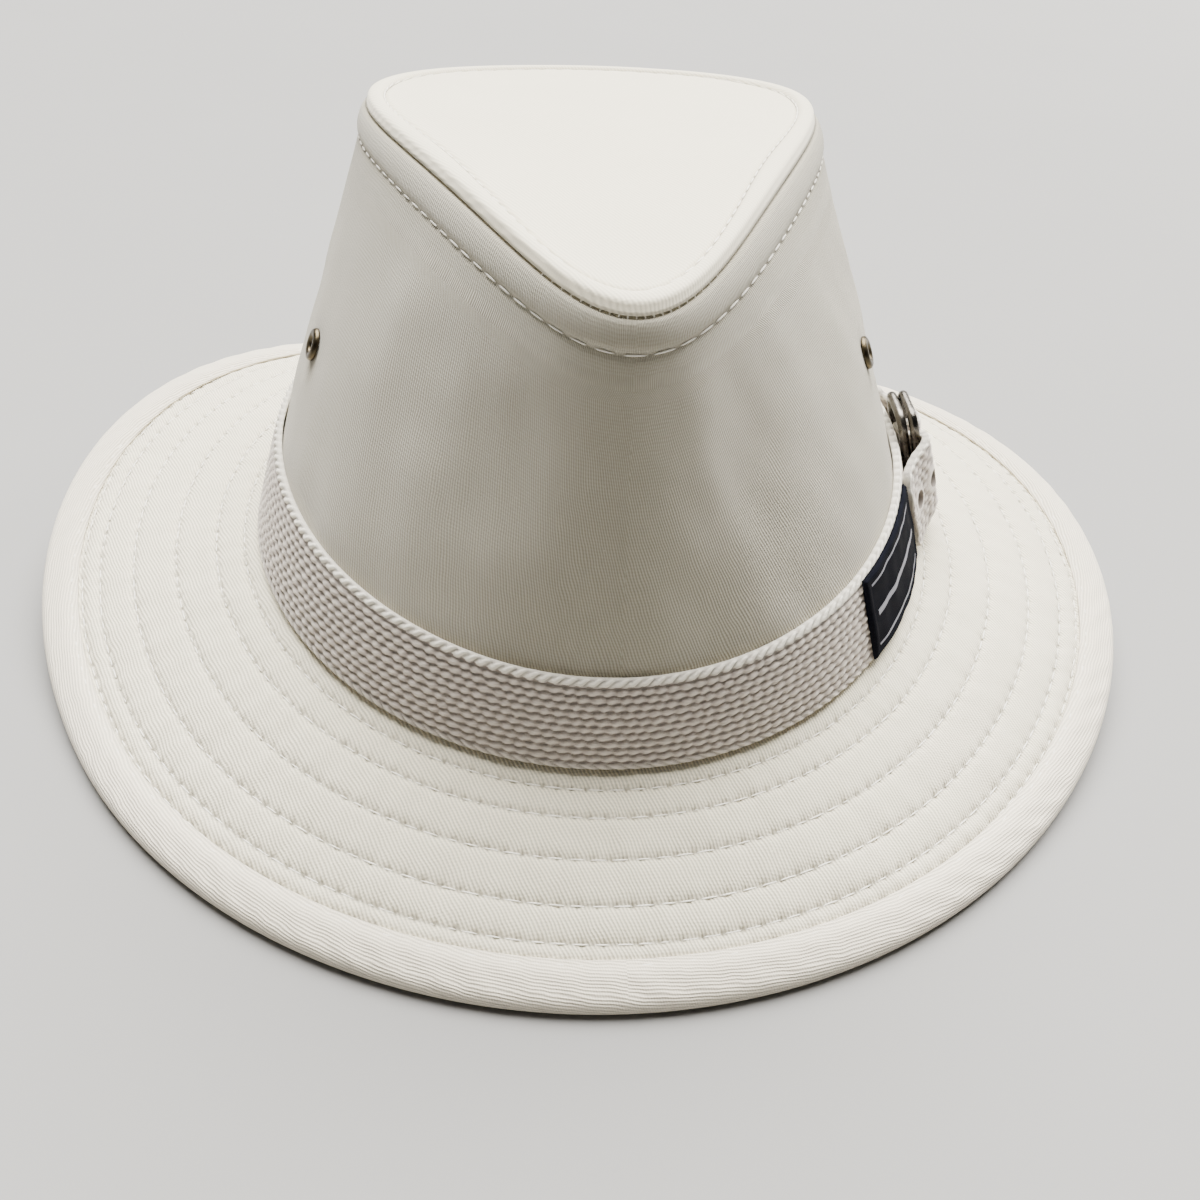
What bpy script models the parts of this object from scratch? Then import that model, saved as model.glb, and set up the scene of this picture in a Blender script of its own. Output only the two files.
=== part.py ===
"""A cotton safari hat with a teardrop crown, a stitched brim and a webbing band.

The hat rests on the plane z = 0. Its front faces -Y, and +X is on the right of someone who
looks at the front. Angles run round the crown from the front, 0, towards +X. All lengths are metres.
"""

import math

import bmesh
import bpy
from mathutils import Matrix, Vector

# Fit and cloth
SEGMENTS = 64
GAP = 0.0003
CLOTH_T = 0.0016
BRIM_T = 0.0030
BINDING_T = 0.0012
WEBBING_T = 0.0018
LABEL_T = 0.0010

# Head oval at the foot of the crown, outside the cloth
HEAD_HALF_W = 0.0886
HEAD_HALF_L = 0.0994
HEAD_EGG = 0.057
FOOT_LEAN = 0.35

# Crown: the top seam is a teardrop in plan, pointed at the front
CROWN_H = 0.1027
TIP_HALF_W = 0.0532
TIP_HALF_L = 0.0849
TIP_POINT = 0.593
TIP_SHOULDER = 0.107
FRONT_DIP = 0.0154
FRONT_DIP_SPREAD = math.radians(66.6)
BACK_DROP = 0.0108
WALL_BULGE = 0.33
TIP_DOME = 0.0018
TIP_SINK = 0.25

# Soft pinches in the crown's front: angle, share of the crown's height, spreads, depth as a share of the head.
# They fade out over a share of the height at the foot and the top.
PINCH_FADE = 0.25
PINCH_COLUMNS = ("angle", "height", "angle_spread", "height_spread", "depth")
PINCHES = (
    (math.radians(-33), 0.66, math.radians(19), 0.26, 0.030),
    (math.radians(31), 0.68, math.radians(18), 0.25, 0.026),
)

# Brim: how far it stands out, how high its root is, and how its edge lifts off the table
BRIM_W = 0.0565
BRIM_SIDE_EXTRA = 0.0060
BRIM_TOP_H = 0.0263
BRIM_TUCK = 0.0030
BRIM_SAG = 0.15
FLATTENING = 0.0003
LIFT_COLUMNS = ("angle", "spread", "height")
EDGE_LIFTS = (
    (math.radians(101), math.radians(62), 0.0105),
    (math.radians(-117), math.radians(56), 0.0195),
)

# Binding: a rolled edge round the brim
BINDING_W = 0.0105
ROLL_R = BRIM_T / 2 + GAP + BINDING_T
ROLL_STEPS = 8

# Band, strap and rings
BAND_H = 0.0233
STRAP_ANGLE = math.radians(91.5)
RING_H = 0.0310
RING_W = 0.0180
RING_WIRE = 0.0026
RING_CORNER_R = 0.0036
RING_STAGGER = 0.0008
TAIL_L = 0.0179
TAB_L = 0.0110
HOLE_D = 0.0050
HOLES = 2
HOLE_PITCH = 0.0090
FIRST_HOLE = 0.0030
HOLE_HEIGHT = 0.0128

# Label: it ends a little short of the tail's tip
LABEL_L = 0.0465
LABEL_SETBACK = 0.0010
LABEL_MARGIN = 0.0004

# Eyelets
EYELET_D = 0.0082
EYELET_BORE = 0.0036
EYELET_BARREL_D = 0.0050
EYELET_RIM_T = 0.0010
EYELET_PLACES = (
    ("eyelet_right", math.radians(80), 0.0560),
    ("eyelet_left", math.radians(-86), 0.0525),
)

# Colours: red, green, blue
IVORY = (0.80, 0.77, 0.69)
CREAM = (0.84, 0.80, 0.73)
WEBBING = (0.72, 0.68, 0.61)
BLACK = (0.012, 0.014, 0.018)
GUNMETAL = (0.10, 0.09, 0.075)
BRASS = (0.16, 0.12, 0.07)


def clear_scene():
    """Remove whatever the file holds."""
    for item in list(bpy.data.objects):
        bpy.data.objects.remove(item, do_unlink=True)


def collection(name):
    """A new collection in the scene."""
    group = bpy.data.collections.new(name)
    bpy.context.scene.collection.children.link(group)
    return group


def material(name, colour, roughness, metallic=0.0):
    """A Principled material in one colour."""
    made = bpy.data.materials.new(name)
    made.use_nodes = True
    shader = made.node_tree.nodes["Principled BSDF"]
    shader.inputs["Base Color"].default_value = (*colour, 1.0)
    shader.inputs["Roughness"].default_value = roughness
    shader.inputs["Metallic"].default_value = metallic
    return made


def bump(angle, centre, spread):
    """A smooth hump of height 1 round an angle."""
    away = (angle - centre + math.pi) % (2 * math.pi) - math.pi
    return math.exp(-(away / spread) ** 2)


def head_point(angle):
    """A point of the head oval, in plan."""
    x = HEAD_HALF_W * math.sin(angle) * (1 - HEAD_EGG * math.cos(angle))
    return Vector((x, -HEAD_HALF_L * math.cos(angle), 0.0))


def head_normal(angle):
    """The outward direction of the head oval, in plan."""
    step = 1e-3
    along = head_point(angle + step) - head_point(angle - step)
    return Vector((along.y, -along.x, 0.0)).normalized()


def seam_point(angle):
    """A point of the crown's top seam, with its height above the brim."""
    across = 1 - TIP_POINT * math.cos(angle) + TIP_SHOULDER * math.cos(2 * angle)
    x = TIP_HALF_W * math.sin(angle) * across
    y = -TIP_HALF_L * math.cos(angle)
    z = CROWN_H - FRONT_DIP * bump(angle, 0.0, FRONT_DIP_SPREAD) + BACK_DROP * math.cos(angle)
    return Vector((x, y, z))


def wall_point(angle, height):
    """A point of the crown wall's outer face at a height above the brim."""
    top = seam_point(angle)
    share = height / top.z
    blend = share - WALL_BULGE * share * (1 - share)
    point = head_point(angle).lerp(Vector((top.x, top.y, 0.0)), blend)
    for row in PINCHES:
        pinch = dict(zip(PINCH_COLUMNS, row))
        depth = pinch["depth"] * HEAD_HALF_L * bump(angle, pinch["angle"], pinch["angle_spread"])
        depth *= math.exp(-((share - pinch["height"]) / pinch["height_spread"]) ** 2)
        depth *= min(1.0, (1 - share) / PINCH_FADE) * min(1.0, share / PINCH_FADE)
        point -= head_normal(angle) * depth
    return point + Vector((0.0, 0.0, BRIM_TOP_H + height))


def wall_frame(angle, height):
    """The wall's point there, with its directions along the band, up the cloth and outwards."""
    step = 1e-3
    along = wall_point(angle + step, height) - wall_point(angle - step, height)
    rise = wall_point(angle, height + step) - wall_point(angle, height - step)
    along.normalize()
    outwards = along.cross(rise).normalized()
    return wall_point(angle, height), along, outwards.cross(along), outwards


def over_wall(angle, height, lift):
    """A point that stands off the crown wall."""
    point, _, _, outwards = wall_frame(angle, height)
    return point + outwards * lift


def edge_lift(angle):
    """How far the brim's edge lifts off the table at an angle."""
    total = 0.0
    for row in EDGE_LIFTS:
        lift = dict(zip(LIFT_COLUMNS, row))
        away = abs((angle - lift["angle"] + math.pi) % (2 * math.pi) - math.pi)
        if away < lift["spread"]:
            total += lift["height"] * math.cos(math.pi / 2 * away / lift["spread"]) ** 2
    return total


def brim_reach(angle):
    """How far the brim's edge lies out from the head oval in plan, and how far below the root."""
    width = BRIM_W - BRIM_SIDE_EXTRA * math.cos(2 * angle)
    root = BRIM_TOP_H - GAP - BRIM_T / 2
    fall = root - ROLL_R / 2
    slope = math.atan((1 + BRIM_SAG) * fall / math.sqrt(width ** 2 - fall ** 2))
    edge = ROLL_R * (1 - math.sin(slope)) - FLATTENING + edge_lift(angle)
    drop = root - edge
    return math.sqrt(width ** 2 - drop ** 2), drop


def brim_point(angle, out):
    """A point of the brim's middle surface, a distance out from the head oval."""
    reach, drop = brim_reach(angle)
    share = max(0.0, out / reach)
    fall = drop * share * (1 - BRIM_SAG + BRIM_SAG * share)
    root = Vector((0.0, 0.0, BRIM_TOP_H - GAP - BRIM_T / 2 - fall))
    return head_point(angle) + head_normal(angle) * out + root


def ring_angles():
    """The angles of the columns round the crown."""
    return [2 * math.pi * i / SEGMENTS for i in range(SEGMENTS)]


def grid_object(name, rows, group, skin, closed=True, centre=None):
    """An object from rows of points, joined by quads, closed round where asked, with a fan to a centre."""
    mesh = bpy.data.meshes.new(name)
    work = bmesh.new()
    grid = [[work.verts.new(point) for point in row] for row in rows]
    for low, high in zip(grid, grid[1:]):
        count = len(low)
        for i in range(count if closed else count - 1):
            j = (i + 1) % count
            work.faces.new((low[i], low[j], high[j], high[i]))
    if centre is not None:
        hub = work.verts.new(centre)
        last = grid[-1]
        for i, corner in enumerate(last):
            work.faces.new((corner, last[(i + 1) % len(last)], hub))
    for face in work.faces:
        face.smooth = True
    work.to_mesh(mesh)
    work.free()
    made = bpy.data.objects.new(name, mesh)
    made.data.materials.append(skin)
    group.objects.link(made)
    return made


def thicken(item, thickness, offset=-1.0):
    """Give an open surface its thickness, inwards unless told otherwise."""
    solid = item.modifiers.new("thickness", "SOLIDIFY")
    solid.thickness = thickness
    solid.offset = offset
    solid.use_even_offset = True


def cut(item, cutter):
    """Cut one object out of another."""
    hole = item.modifiers.new("hole", "BOOLEAN")
    hole.operation = "DIFFERENCE"
    hole.object = cutter


def frame_matrix(angle, height, lift):
    """A matrix with X along the band, Y up the cloth and Z out of the wall."""
    point, along, up, outwards = wall_frame(angle, height)
    turn = Matrix((along, up, outwards)).transposed().to_4x4()
    return Matrix.Translation(point + outwards * lift) @ turn


def pin_cutter(name, diameter, depth, matrix, group):
    """A round cutter along a frame's Z."""
    mesh = bpy.data.meshes.new(name)
    work = bmesh.new()
    bmesh.ops.create_cone(
        work, cap_ends=True, segments=16, radius1=diameter / 2, radius2=diameter / 2, depth=depth
    )
    work.to_mesh(mesh)
    work.free()
    cutter = bpy.data.objects.new(name, mesh)
    cutter.matrix_world = matrix
    cutter.hide_render = True
    cutter.display_type = "WIRE"
    group.objects.link(cutter)
    return cutter


def make_crown_side(group, cutters, skin):
    """The crown's wall, from the brim to the top seam, with the eyelets' holes."""
    foot = FOOT_LEAN * CLOTH_T
    shares = [i / 10 for i in range(11)]
    rows = [[wall_point(a, foot + s * (seam_point(a).z - foot)) for a in ring_angles()] for s in shares]
    wall = grid_object("crown_side", rows, group, skin)
    thicken(wall, CLOTH_T)
    for name, angle, height in EYELET_PLACES:
        matrix = frame_matrix(angle, height, 0.0)
        cutter = pin_cutter(name + "_hole", EYELET_BARREL_D + 2 * GAP, 8 * CLOTH_T, matrix, cutters)
        cut(wall, cutter)
    return wall


def tip_point(angle, share):
    """A point of the tip's outer face, at a share of the way from its middle to the seam."""
    seam = seam_point(angle)
    middle = CROWN_H - TIP_SINK * FRONT_DIP + TIP_DOME
    lid = BRIM_TOP_H + GAP + CLOTH_T
    height = middle + (seam.z - middle) * share ** 2 + lid
    return Vector((seam.x * share, seam.y * share, height))


def make_crown_tip(group, skin):
    """The teardrop panel that closes the crown."""
    shares = [1.0, 0.86, 0.7, 0.5, 0.28]
    rows = [[tip_point(a, s) for a in ring_angles()] for s in shares]
    tip = grid_object("crown_tip", rows, group, skin, centre=tip_point(0.0, 0.0))
    thicken(tip, CLOTH_T)
    return tip


def make_brim(group, skin):
    """The brim, from under the crown's foot into the binding."""
    rows = []
    for share in (0.0, 0.05, 0.25, 0.5, 0.75, 1.0):
        row = []
        for angle in ring_angles():
            far = brim_reach(angle)[0] - ROLL_R - GAP
            row.append(brim_point(angle, -BRIM_TUCK + share * (far + BRIM_TUCK)))
        rows.append(row)
    brim = grid_object("brim", rows[::-1], group, skin)
    thicken(brim, BRIM_T, offset=0.0)
    return brim


def binding_profile():
    """The binding's outer outline: distance in from the edge, and height over the brim's middle."""
    profile = [(BINDING_W, ROLL_R)]
    for i in range(ROLL_STEPS + 1):
        turn = math.pi * i / ROLL_STEPS
        profile.append((ROLL_R * (1 - math.sin(turn)), ROLL_R * math.cos(turn)))
    profile.append((BINDING_W, -ROLL_R))
    return profile


def binding_point(angle, inwards, above):
    """A point of the binding, kept above the table."""
    reach, _ = brim_reach(angle)
    edge = brim_point(angle, reach)
    out = (edge - brim_point(angle, reach - BINDING_W)).normalized()
    side = Vector((-out.y, out.x, 0.0)).normalized()
    up = out.cross(side)
    point = edge - out * inwards + up * above
    point.z = max(0.0, point.z)
    return point


def make_binding(group, skin):
    """The rolled binding round the brim's edge, flat where the hat rests."""
    rows = []
    for inwards, above in binding_profile():
        rows.append([binding_point(a, inwards, above) for a in ring_angles()])
    binding = grid_object("brim_binding", rows[::-1], group, skin)
    thicken(binding, BINDING_T)
    return binding


def make_band(group, skin):
    """The webbing band round the crown's foot."""
    lift = GAP + WEBBING_T
    rows = []
    for share in (0.0, 0.5, 1.0):
        height = GAP + share * BAND_H
        rows.append([over_wall(a, height, lift) for a in ring_angles()])
    band = grid_object("hat_band", rows, group, skin)
    thicken(band, WEBBING_T)
    return band


def band_lift():
    """How far the band's outer face stands off the crown."""
    return GAP + WEBBING_T


def ring_lift(place):
    """How far a ring's wire stands off the crown: place 0 is the inner ring, 1 the outer."""
    return band_lift() + GAP + RING_WIRE / 2 + place * (RING_WIRE + GAP)


def ring_height():
    """The height of the rings' middle above the brim."""
    return 2 * GAP + RING_H / 2


def make_ring(name, place, group, skin):
    """A closed wire ring with round corners, flat against the band."""
    half_w = (RING_W - RING_WIRE) / 2 - RING_CORNER_R
    half_h = (RING_H - RING_WIRE) / 2 - RING_CORNER_R
    points = []
    for corner, (sx, sy) in enumerate(((1, 1), (-1, 1), (-1, -1), (1, -1))):
        for i in range(5):
            turn = math.pi / 2 * (corner + i / 4)
            x = sx * half_w + RING_CORNER_R * math.cos(turn)
            y = sy * half_h + RING_CORNER_R * math.sin(turn)
            points.append((x, y, 0.0))
    wire = bpy.data.curves.new(name, "CURVE")
    wire.dimensions = "3D"
    wire.bevel_depth = RING_WIRE / 2
    wire.bevel_resolution = 2
    spline = wire.splines.new("POLY")
    spline.points.add(len(points) - 1)
    for target, point in zip(spline.points, points):
        target.co = (*point, 1.0)
    spline.use_cyclic_u = True
    ring = bpy.data.objects.new(name, wire)
    ring.matrix_world = frame_matrix(STRAP_ANGLE, ring_height(), ring_lift(place))
    ring.matrix_world @= Matrix.Translation((-place * RING_STAGGER, 0.0, 0.0))
    ring.data.materials.append(skin)
    group.objects.link(ring)
    return ring


# Routes of the webbing through the rings. bar counts distances from the rings' middle to a bar, run counts
# lengths of the free webbing, rise counts the climb from the band to over the rings, sink how far it has come
# down from the rings' height to the band's, and width is a share of the webbing's width.
ROUTE_COLUMNS = ("bar", "run", "rise", "sink", "width")
TAIL_ROUTE = (
    (0.00, 0.00, 0.00, 0.40, 0.88),
    (0.32, 0.00, 0.14, 0.60, 0.82),
    (0.48, 0.00, 0.50, 0.70, 0.78),
    (0.66, 0.00, 0.90, 0.60, 0.80),
    (1.30, 0.00, 1.00, 0.50, 0.88),
    (1.30, 0.18, 0.80, 0.65, 0.92),
    (1.30, 0.42, 0.40, 0.85, 0.97),
    (1.30, 0.70, 0.12, 1.00, 1.00),
    (1.30, 0.86, 0.04, 1.00, 0.94),
    (1.30, 0.95, 0.00, 1.00, 0.74),
    (1.30, 1.00, 0.00, 1.00, 0.42),
)
TAB_ROUTE = (
    (0.22, 0.00, 0.12, 0.50, 0.82),
    (0.36, 0.00, 0.50, 0.60, 0.78),
    (0.50, 0.00, 0.92, 0.80, 0.74),
    (1.30, 0.00, 1.00, 0.90, 0.72),
    (1.30, 0.40, 0.62, 1.00, 0.80),
    (1.30, 0.75, 0.15, 1.00, 0.92),
    (1.30, 1.00, 0.00, 1.00, 1.00),
)


def smooth_rows(table, steps):
    """Points along a table's rows, rounded between them."""
    made = []
    last = len(table) - 1
    for i in range(last):
        around = [table[max(0, min(last, k))] for k in (i - 1, i, i + 1, i + 2)]
        for step in range(steps):
            t = step / steps
            row = []
            for a, b, c, d in zip(*around):
                bend = (2 * b + (c - a) * t + (2 * a - 5 * b + 4 * c - d) * t ** 2)
                row.append(0.5 * (bend + (3 * b - a - 3 * c + d) * t ** 3))
            made.append(row)
    made.append(list(table[last]))
    return made


def route_place(row, run, way):
    """The angle, middle height, lift and width share of a row of a webbing's route."""
    place = dict(zip(ROUTE_COLUMNS, row))
    bar = (RING_W - RING_WIRE) / 2
    along = way * (bar * place["bar"] + run * place["run"])
    low = band_lift() + GAP + WEBBING_T / 2
    falls_away = (RING_W / 2) ** 2 / (2 * HEAD_HALF_W)
    high = ring_lift(1) + RING_WIRE / 2 + GAP + falls_away + WEBBING_T / 2
    height = ring_height() + place["sink"] * (BAND_H / 2 + 2 * GAP - ring_height())
    return STRAP_ANGLE + along / HEAD_HALF_L, height, low + place["rise"] * (high - low), place["width"]


def make_webbing(name, table, run, way, group, skin):
    """A length of webbing that follows a route out of the rings."""
    rows = []
    for row in smooth_rows(table, 2):
        angle, height, lift, width = route_place(row, run, way)
        half = width * BAND_H / 2
        rows.append([over_wall(angle, height + s * half, lift) for s in (-1.0, -0.33, 0.33, 1.0)])
    made = grid_object(name, rows if way < 0 else rows[::-1], group, skin, closed=False)
    thicken(made, WEBBING_T, offset=0.0)
    return made


def make_strap_tail(group, cutters, skin):
    """The free tail, folded forward over the rings, with its punched holes."""
    tail = make_webbing("strap_tail", TAIL_ROUTE, TAIL_L, -1, group, skin)
    for i in range(HOLES):
        along = RING_W / 2 + FIRST_HOLE + i * HOLE_PITCH
        angle = STRAP_ANGLE - along / HEAD_HALF_L
        matrix = frame_matrix(angle, HOLE_HEIGHT, 4 * WEBBING_T)
        cutter = pin_cutter("punch_{}".format(i + 1), HOLE_D, 8 * WEBBING_T, matrix, cutters)
        cut(tail, cutter)
    return tail


def make_label(group, skin):
    """The woven label sewn over the band."""
    lift = band_lift() + GAP + LABEL_T
    tip_angle, _, _, _ = route_place(TAIL_ROUTE[-1], TAIL_L, -1)
    end = tip_angle - LABEL_SETBACK / HEAD_HALF_L
    start = end - LABEL_L / HEAD_HALF_L
    rows = []
    for height in (GAP + LABEL_MARGIN, GAP + BAND_H / 2, GAP + BAND_H - LABEL_MARGIN):
        angles = [start + (end - start) * i / 6 for i in range(7)]
        rows.append([over_wall(a, height, lift) for a in angles])
    label = grid_object("band_label", rows, group, skin, closed=False)
    thicken(label, LABEL_T)
    return label


def make_eyelet(name, angle, height, group, skin):
    """A vent eyelet turned about its axis: a rolled rim outside, a barrel and a flat rim inside."""
    outer = EYELET_D / 2
    bore = EYELET_BORE / 2
    barrel = EYELET_BARREL_D / 2
    face = GAP
    back = -CLOTH_T - GAP
    profile = (
        (bore, face + 0.4 * EYELET_RIM_T),
        ((bore + barrel) / 2, face + EYELET_RIM_T),
        ((barrel + outer) / 2, face + EYELET_RIM_T),
        (outer, face + 0.4 * EYELET_RIM_T),
        (outer, face),
        (barrel, face),
        (barrel, back),
        (outer * 0.9, back),
        (outer * 0.9, back - EYELET_RIM_T / 2),
        (bore, back - EYELET_RIM_T / 2),
    )
    mesh = bpy.data.meshes.new(name)
    work = bmesh.new()
    corners = [work.verts.new((x, 0.0, z)) for x, z in profile]
    for i, corner in enumerate(corners):
        work.edges.new((corner, corners[(i + 1) % len(corners)]))
    work.to_mesh(mesh)
    work.free()
    eyelet = bpy.data.objects.new(name, mesh)
    eyelet.matrix_world = frame_matrix(angle, height, 0.0)
    turn = eyelet.modifiers.new("turn", "SCREW")
    turn.steps = 16
    turn.render_steps = 16
    turn.use_merge_vertices = True
    turn.merge_threshold = 0.00001
    turn.use_normal_calculate = True
    eyelet.data.materials.append(skin)
    group.objects.link(eyelet)
    return eyelet


def main():
    """Build the whole hat."""
    clear_scene()
    hat = collection("safari_hat")
    cutters = collection("cutters")
    twill = material("ivory twill", IVORY, 0.9)
    bias = material("cream binding", CREAM, 0.9)
    webbing = material("cotton webbing", WEBBING, 0.95)
    woven = material("black label", BLACK, 0.8)
    wire = material("gunmetal wire", GUNMETAL, 0.3, 1.0)
    brass = material("dark brass", BRASS, 0.35, 1.0)
    make_crown_side(hat, cutters, twill)
    make_crown_tip(hat, twill)
    make_brim(hat, twill)
    make_binding(hat, bias)
    make_band(hat, webbing)
    make_strap_tail(hat, cutters, webbing)
    make_webbing("buckle_tab", TAB_ROUTE, TAB_L, 1, hat, webbing)
    make_ring("buckle_ring_inner", 0, hat, wire)
    make_ring("buckle_ring_outer", 1, hat, wire)
    make_label(hat, woven)
    for name, angle, height in EYELET_PLACES:
        make_eyelet(name, angle, height, hat, brass)


if __name__ == "__main__":
    main()
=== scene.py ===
"""The looks of a cotton safari hat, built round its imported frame.

The hat rests on z = 0 with its front towards -Y. Angles run round the crown from the front towards +X.
All lengths are metres. The shape below repeats the CAD's own rules at a finer step.
"""

import functools
import math

import bmesh
import bpy
import numpy as np
from bpy.props import FloatProperty, FloatVectorProperty, IntProperty, PointerProperty
from mathutils import Matrix, Vector


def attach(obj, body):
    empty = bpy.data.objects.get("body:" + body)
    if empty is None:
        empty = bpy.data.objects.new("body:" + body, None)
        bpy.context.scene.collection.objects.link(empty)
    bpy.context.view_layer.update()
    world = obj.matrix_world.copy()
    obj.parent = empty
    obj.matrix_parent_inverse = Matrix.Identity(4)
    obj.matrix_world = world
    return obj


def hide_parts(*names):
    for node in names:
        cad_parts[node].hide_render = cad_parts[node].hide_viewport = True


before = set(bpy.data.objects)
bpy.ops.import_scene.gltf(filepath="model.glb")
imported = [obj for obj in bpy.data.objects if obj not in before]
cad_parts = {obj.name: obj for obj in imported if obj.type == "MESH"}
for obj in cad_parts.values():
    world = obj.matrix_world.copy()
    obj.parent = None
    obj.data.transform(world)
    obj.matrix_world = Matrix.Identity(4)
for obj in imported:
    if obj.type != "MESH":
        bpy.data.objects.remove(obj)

bl_info = {
    "name": "Safari hat",
    "version": (1, 0, 0),
    "blender": (4, 5, 0),
    "location": "View3D > Sidebar > Hat",
    "description": "A cotton safari hat with a stitched brim, a webbing band and a two-ring buckle",
    "category": "Add Mesh",
}

BODY = "root"

# The CAD's sizes
GAP = 0.0003
CLOTH_T = 0.0016
BRIM_T = 0.0030
BINDING_T = 0.0012
WEBBING_T = 0.0018
LABEL_T = 0.0010
HEAD_HALF_W = 0.0886
HEAD_HALF_L = 0.0994
HEAD_EGG = 0.057
FOOT_LEAN = 0.35
CROWN_H = 0.1027
TIP_HALF_W = 0.0532
TIP_HALF_L = 0.0849
TIP_POINT = 0.593
TIP_SHOULDER = 0.107
FRONT_DIP = 0.0154
FRONT_DIP_SPREAD = math.radians(66.6)
BACK_DROP = 0.0108
WALL_BULGE = 0.33
TIP_DOME = 0.0018
TIP_SINK = 0.25
PINCH_FADE = 0.25
PINCHES = (
    (math.radians(-33), 0.66, math.radians(19), 0.26, 0.030),
    (math.radians(31), 0.68, math.radians(18), 0.25, 0.026),
)
BRIM_W = 0.0565
BRIM_SIDE_EXTRA = 0.0060
BRIM_TOP_H = 0.0263
BRIM_TUCK = 0.0030
BRIM_SAG = 0.15
FLATTENING = 0.0003
EDGE_LIFTS = (
    (math.radians(101), math.radians(62), 0.0105),
    (math.radians(-117), math.radians(56), 0.0195),
)
BINDING_W = 0.0105
ROLL_R = BRIM_T / 2 + GAP + BINDING_T
BAND_H = 0.0233
STRAP_ANGLE = math.radians(91.5)
RING_H = 0.0310
RING_W = 0.0180
RING_WIRE = 0.0026
RING_CORNER_R = 0.0036
RING_STAGGER = 0.0008
TAIL_L = 0.0179
TAB_L = 0.0110
HOLE_D = 0.0050
HOLES = 2
HOLE_PITCH = 0.0090
FIRST_HOLE = 0.0030
HOLE_HEIGHT = 0.0128
LABEL_L = 0.0465
LABEL_SETBACK = 0.0010
LABEL_MARGIN = 0.0004
EYELET_D = 0.0082
EYELET_BORE = 0.0036
EYELET_BARREL_D = 0.0050
EYELET_PLACES = (
    ("eyelet_right", math.radians(80), 0.0560),
    ("eyelet_left", math.radians(-86), 0.0525),
)

# Rows of a webbing's route: bar, run, rise, sink and width, as in the CAD
TAIL_ROUTE = (
    (0.00, 0.00, 0.00, 0.40, 0.88),
    (0.32, 0.00, 0.14, 0.60, 0.82),
    (0.48, 0.00, 0.50, 0.70, 0.78),
    (0.66, 0.00, 0.90, 0.60, 0.80),
    (1.30, 0.00, 1.00, 0.50, 0.88),
    (1.30, 0.18, 0.80, 0.65, 0.92),
    (1.30, 0.42, 0.40, 0.85, 0.97),
    (1.30, 0.70, 0.12, 1.00, 1.00),
    (1.30, 0.86, 0.04, 1.00, 0.94),
    (1.30, 0.95, 0.00, 1.00, 0.74),
    (1.30, 1.00, 0.00, 1.00, 0.42),
)
TAB_ROUTE = (
    (0.22, 0.00, 0.12, 0.50, 0.82),
    (0.36, 0.00, 0.50, 0.60, 0.78),
    (0.50, 0.00, 0.92, 0.80, 0.74),
    (1.30, 0.00, 1.00, 0.90, 0.72),
    (1.30, 0.40, 0.62, 1.00, 0.80),
    (1.30, 0.75, 0.15, 1.00, 0.92),
    (1.30, 1.00, 0.00, 1.00, 1.00),
)

# Sewn rows on the brim, as shares of the way from its edge to the crown
BRIM_ROWS = (0.18, 0.26, 0.41, 0.60, 0.78, 0.905)

# Finer sizes, shares and colours that only the looks have
FOLD_R = 0.0011
# Width of the painted shade along sewn creases
ROW_SPREAD = 0.0008
CREASE_SHADE_SPREAD = 0.0004
SEAM_ZONE = 0.0105
SEAM_SHARE = 0.16
TIP_ZONE = 0.011
TIP_SETBACK = 0.0006
WALL_WRINKLE = 0.00045
TIP_WRINKLE = 0.0004
BRIM_WRINKLE = 0.00026
TIP_R = 0.07
EDGE_R = 0.150
BRIM_MIDDLE = 0.03
STRAP_SUNK = 0.00015
# The crown wall's colour is the twill darkened to this share as painted shade: the wall is the same cloth as
# the tip and the brim
WALL_PAINTED_SHADE = 0.52
TICK_STEP = 3.4
STITCH_SEED = 5
STITCH_SIZES = (0.88, 1.08)
SCALLOP = 0.0007
TWIST_PITCH = 0.95
TWIST_SLANT = 0.42
WIRE_STEP = 0.0007
TWILL_RELIEF = 0.00022
YARN_RELIEF = 0.00020
LABEL_RELIEF = 0.00014
FIBRE_RELIEF = 0.00006
SCRATCH_RELIEF = 0.00005
LABEL_RIB = 0.00042
LABEL_PICK = 0.00055
LABEL_BROAD_LINE = 0.0016
LABEL_BROAD_END = 0.0045
LABEL_THIN_LINE = 0.00056
LABEL_THIN_END = 0.0030
LABEL_THIN_SETBACK = 0.0032
LABEL_LINE_COLOUR = (0.36, 0.36, 0.40)

# The photograph's camera: where it stands, and its turn, dip and roll in degrees
CAMERA_PLACE = (-0.0238, -0.2788, 0.2179)
CAMERA_YAW = 5.86
CAMERA_PITCH = 38.87
CAMERA_ROLL = 3.01
CAMERA_LENS = 36.0
CAMERA_SENSOR = 36.0

# Rows and columns of the fine meshes
CROWN_COLUMNS = 440
SEAM_ROWS = 34
WALL_INNER_ROWS = 12
TIP_UNDER_ROWS = 8
BRIM_COLUMNS = 1080
BRIM_UNDER_ROWS = 14
BINDING_COLUMNS = 960
BAND_COLUMNS = 1200
BAND_ROWS = 72
STRAP_COLUMNS = 44
LABEL_COLUMNS = 220
LABEL_ROWS = 60
EYELET_COLUMNS = 56
WIRE_COLUMNS = 24
CORNER_STEPS = 12

# The stage: its floor, its sky's fade from the horizon up, its sun and its two lamps
FLOOR_SIZE = 80.0
HORIZON_FADE = 0.24
SUN_ANGLE = math.radians(62)
SKY_COLOUR = (1.0, 0.985, 0.955)
LAMP_COLOUR = (1.0, 0.982, 0.95)
LAMP_SIZE = 0.7
RIGHT_SHARE = 10.0
LAMP_AIM = Vector((0, 0, 0.05))
LAMP_PLACES = ((0.12, 0.62, 1.25), (-1.30, 0.10, 0.55), (1.15, 0.85, 0.60))


# What every colour setting has in common
COLOUR = {"subtype": "COLOR", "size": 3, "min": 0.0, "max": 1.0}


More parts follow.
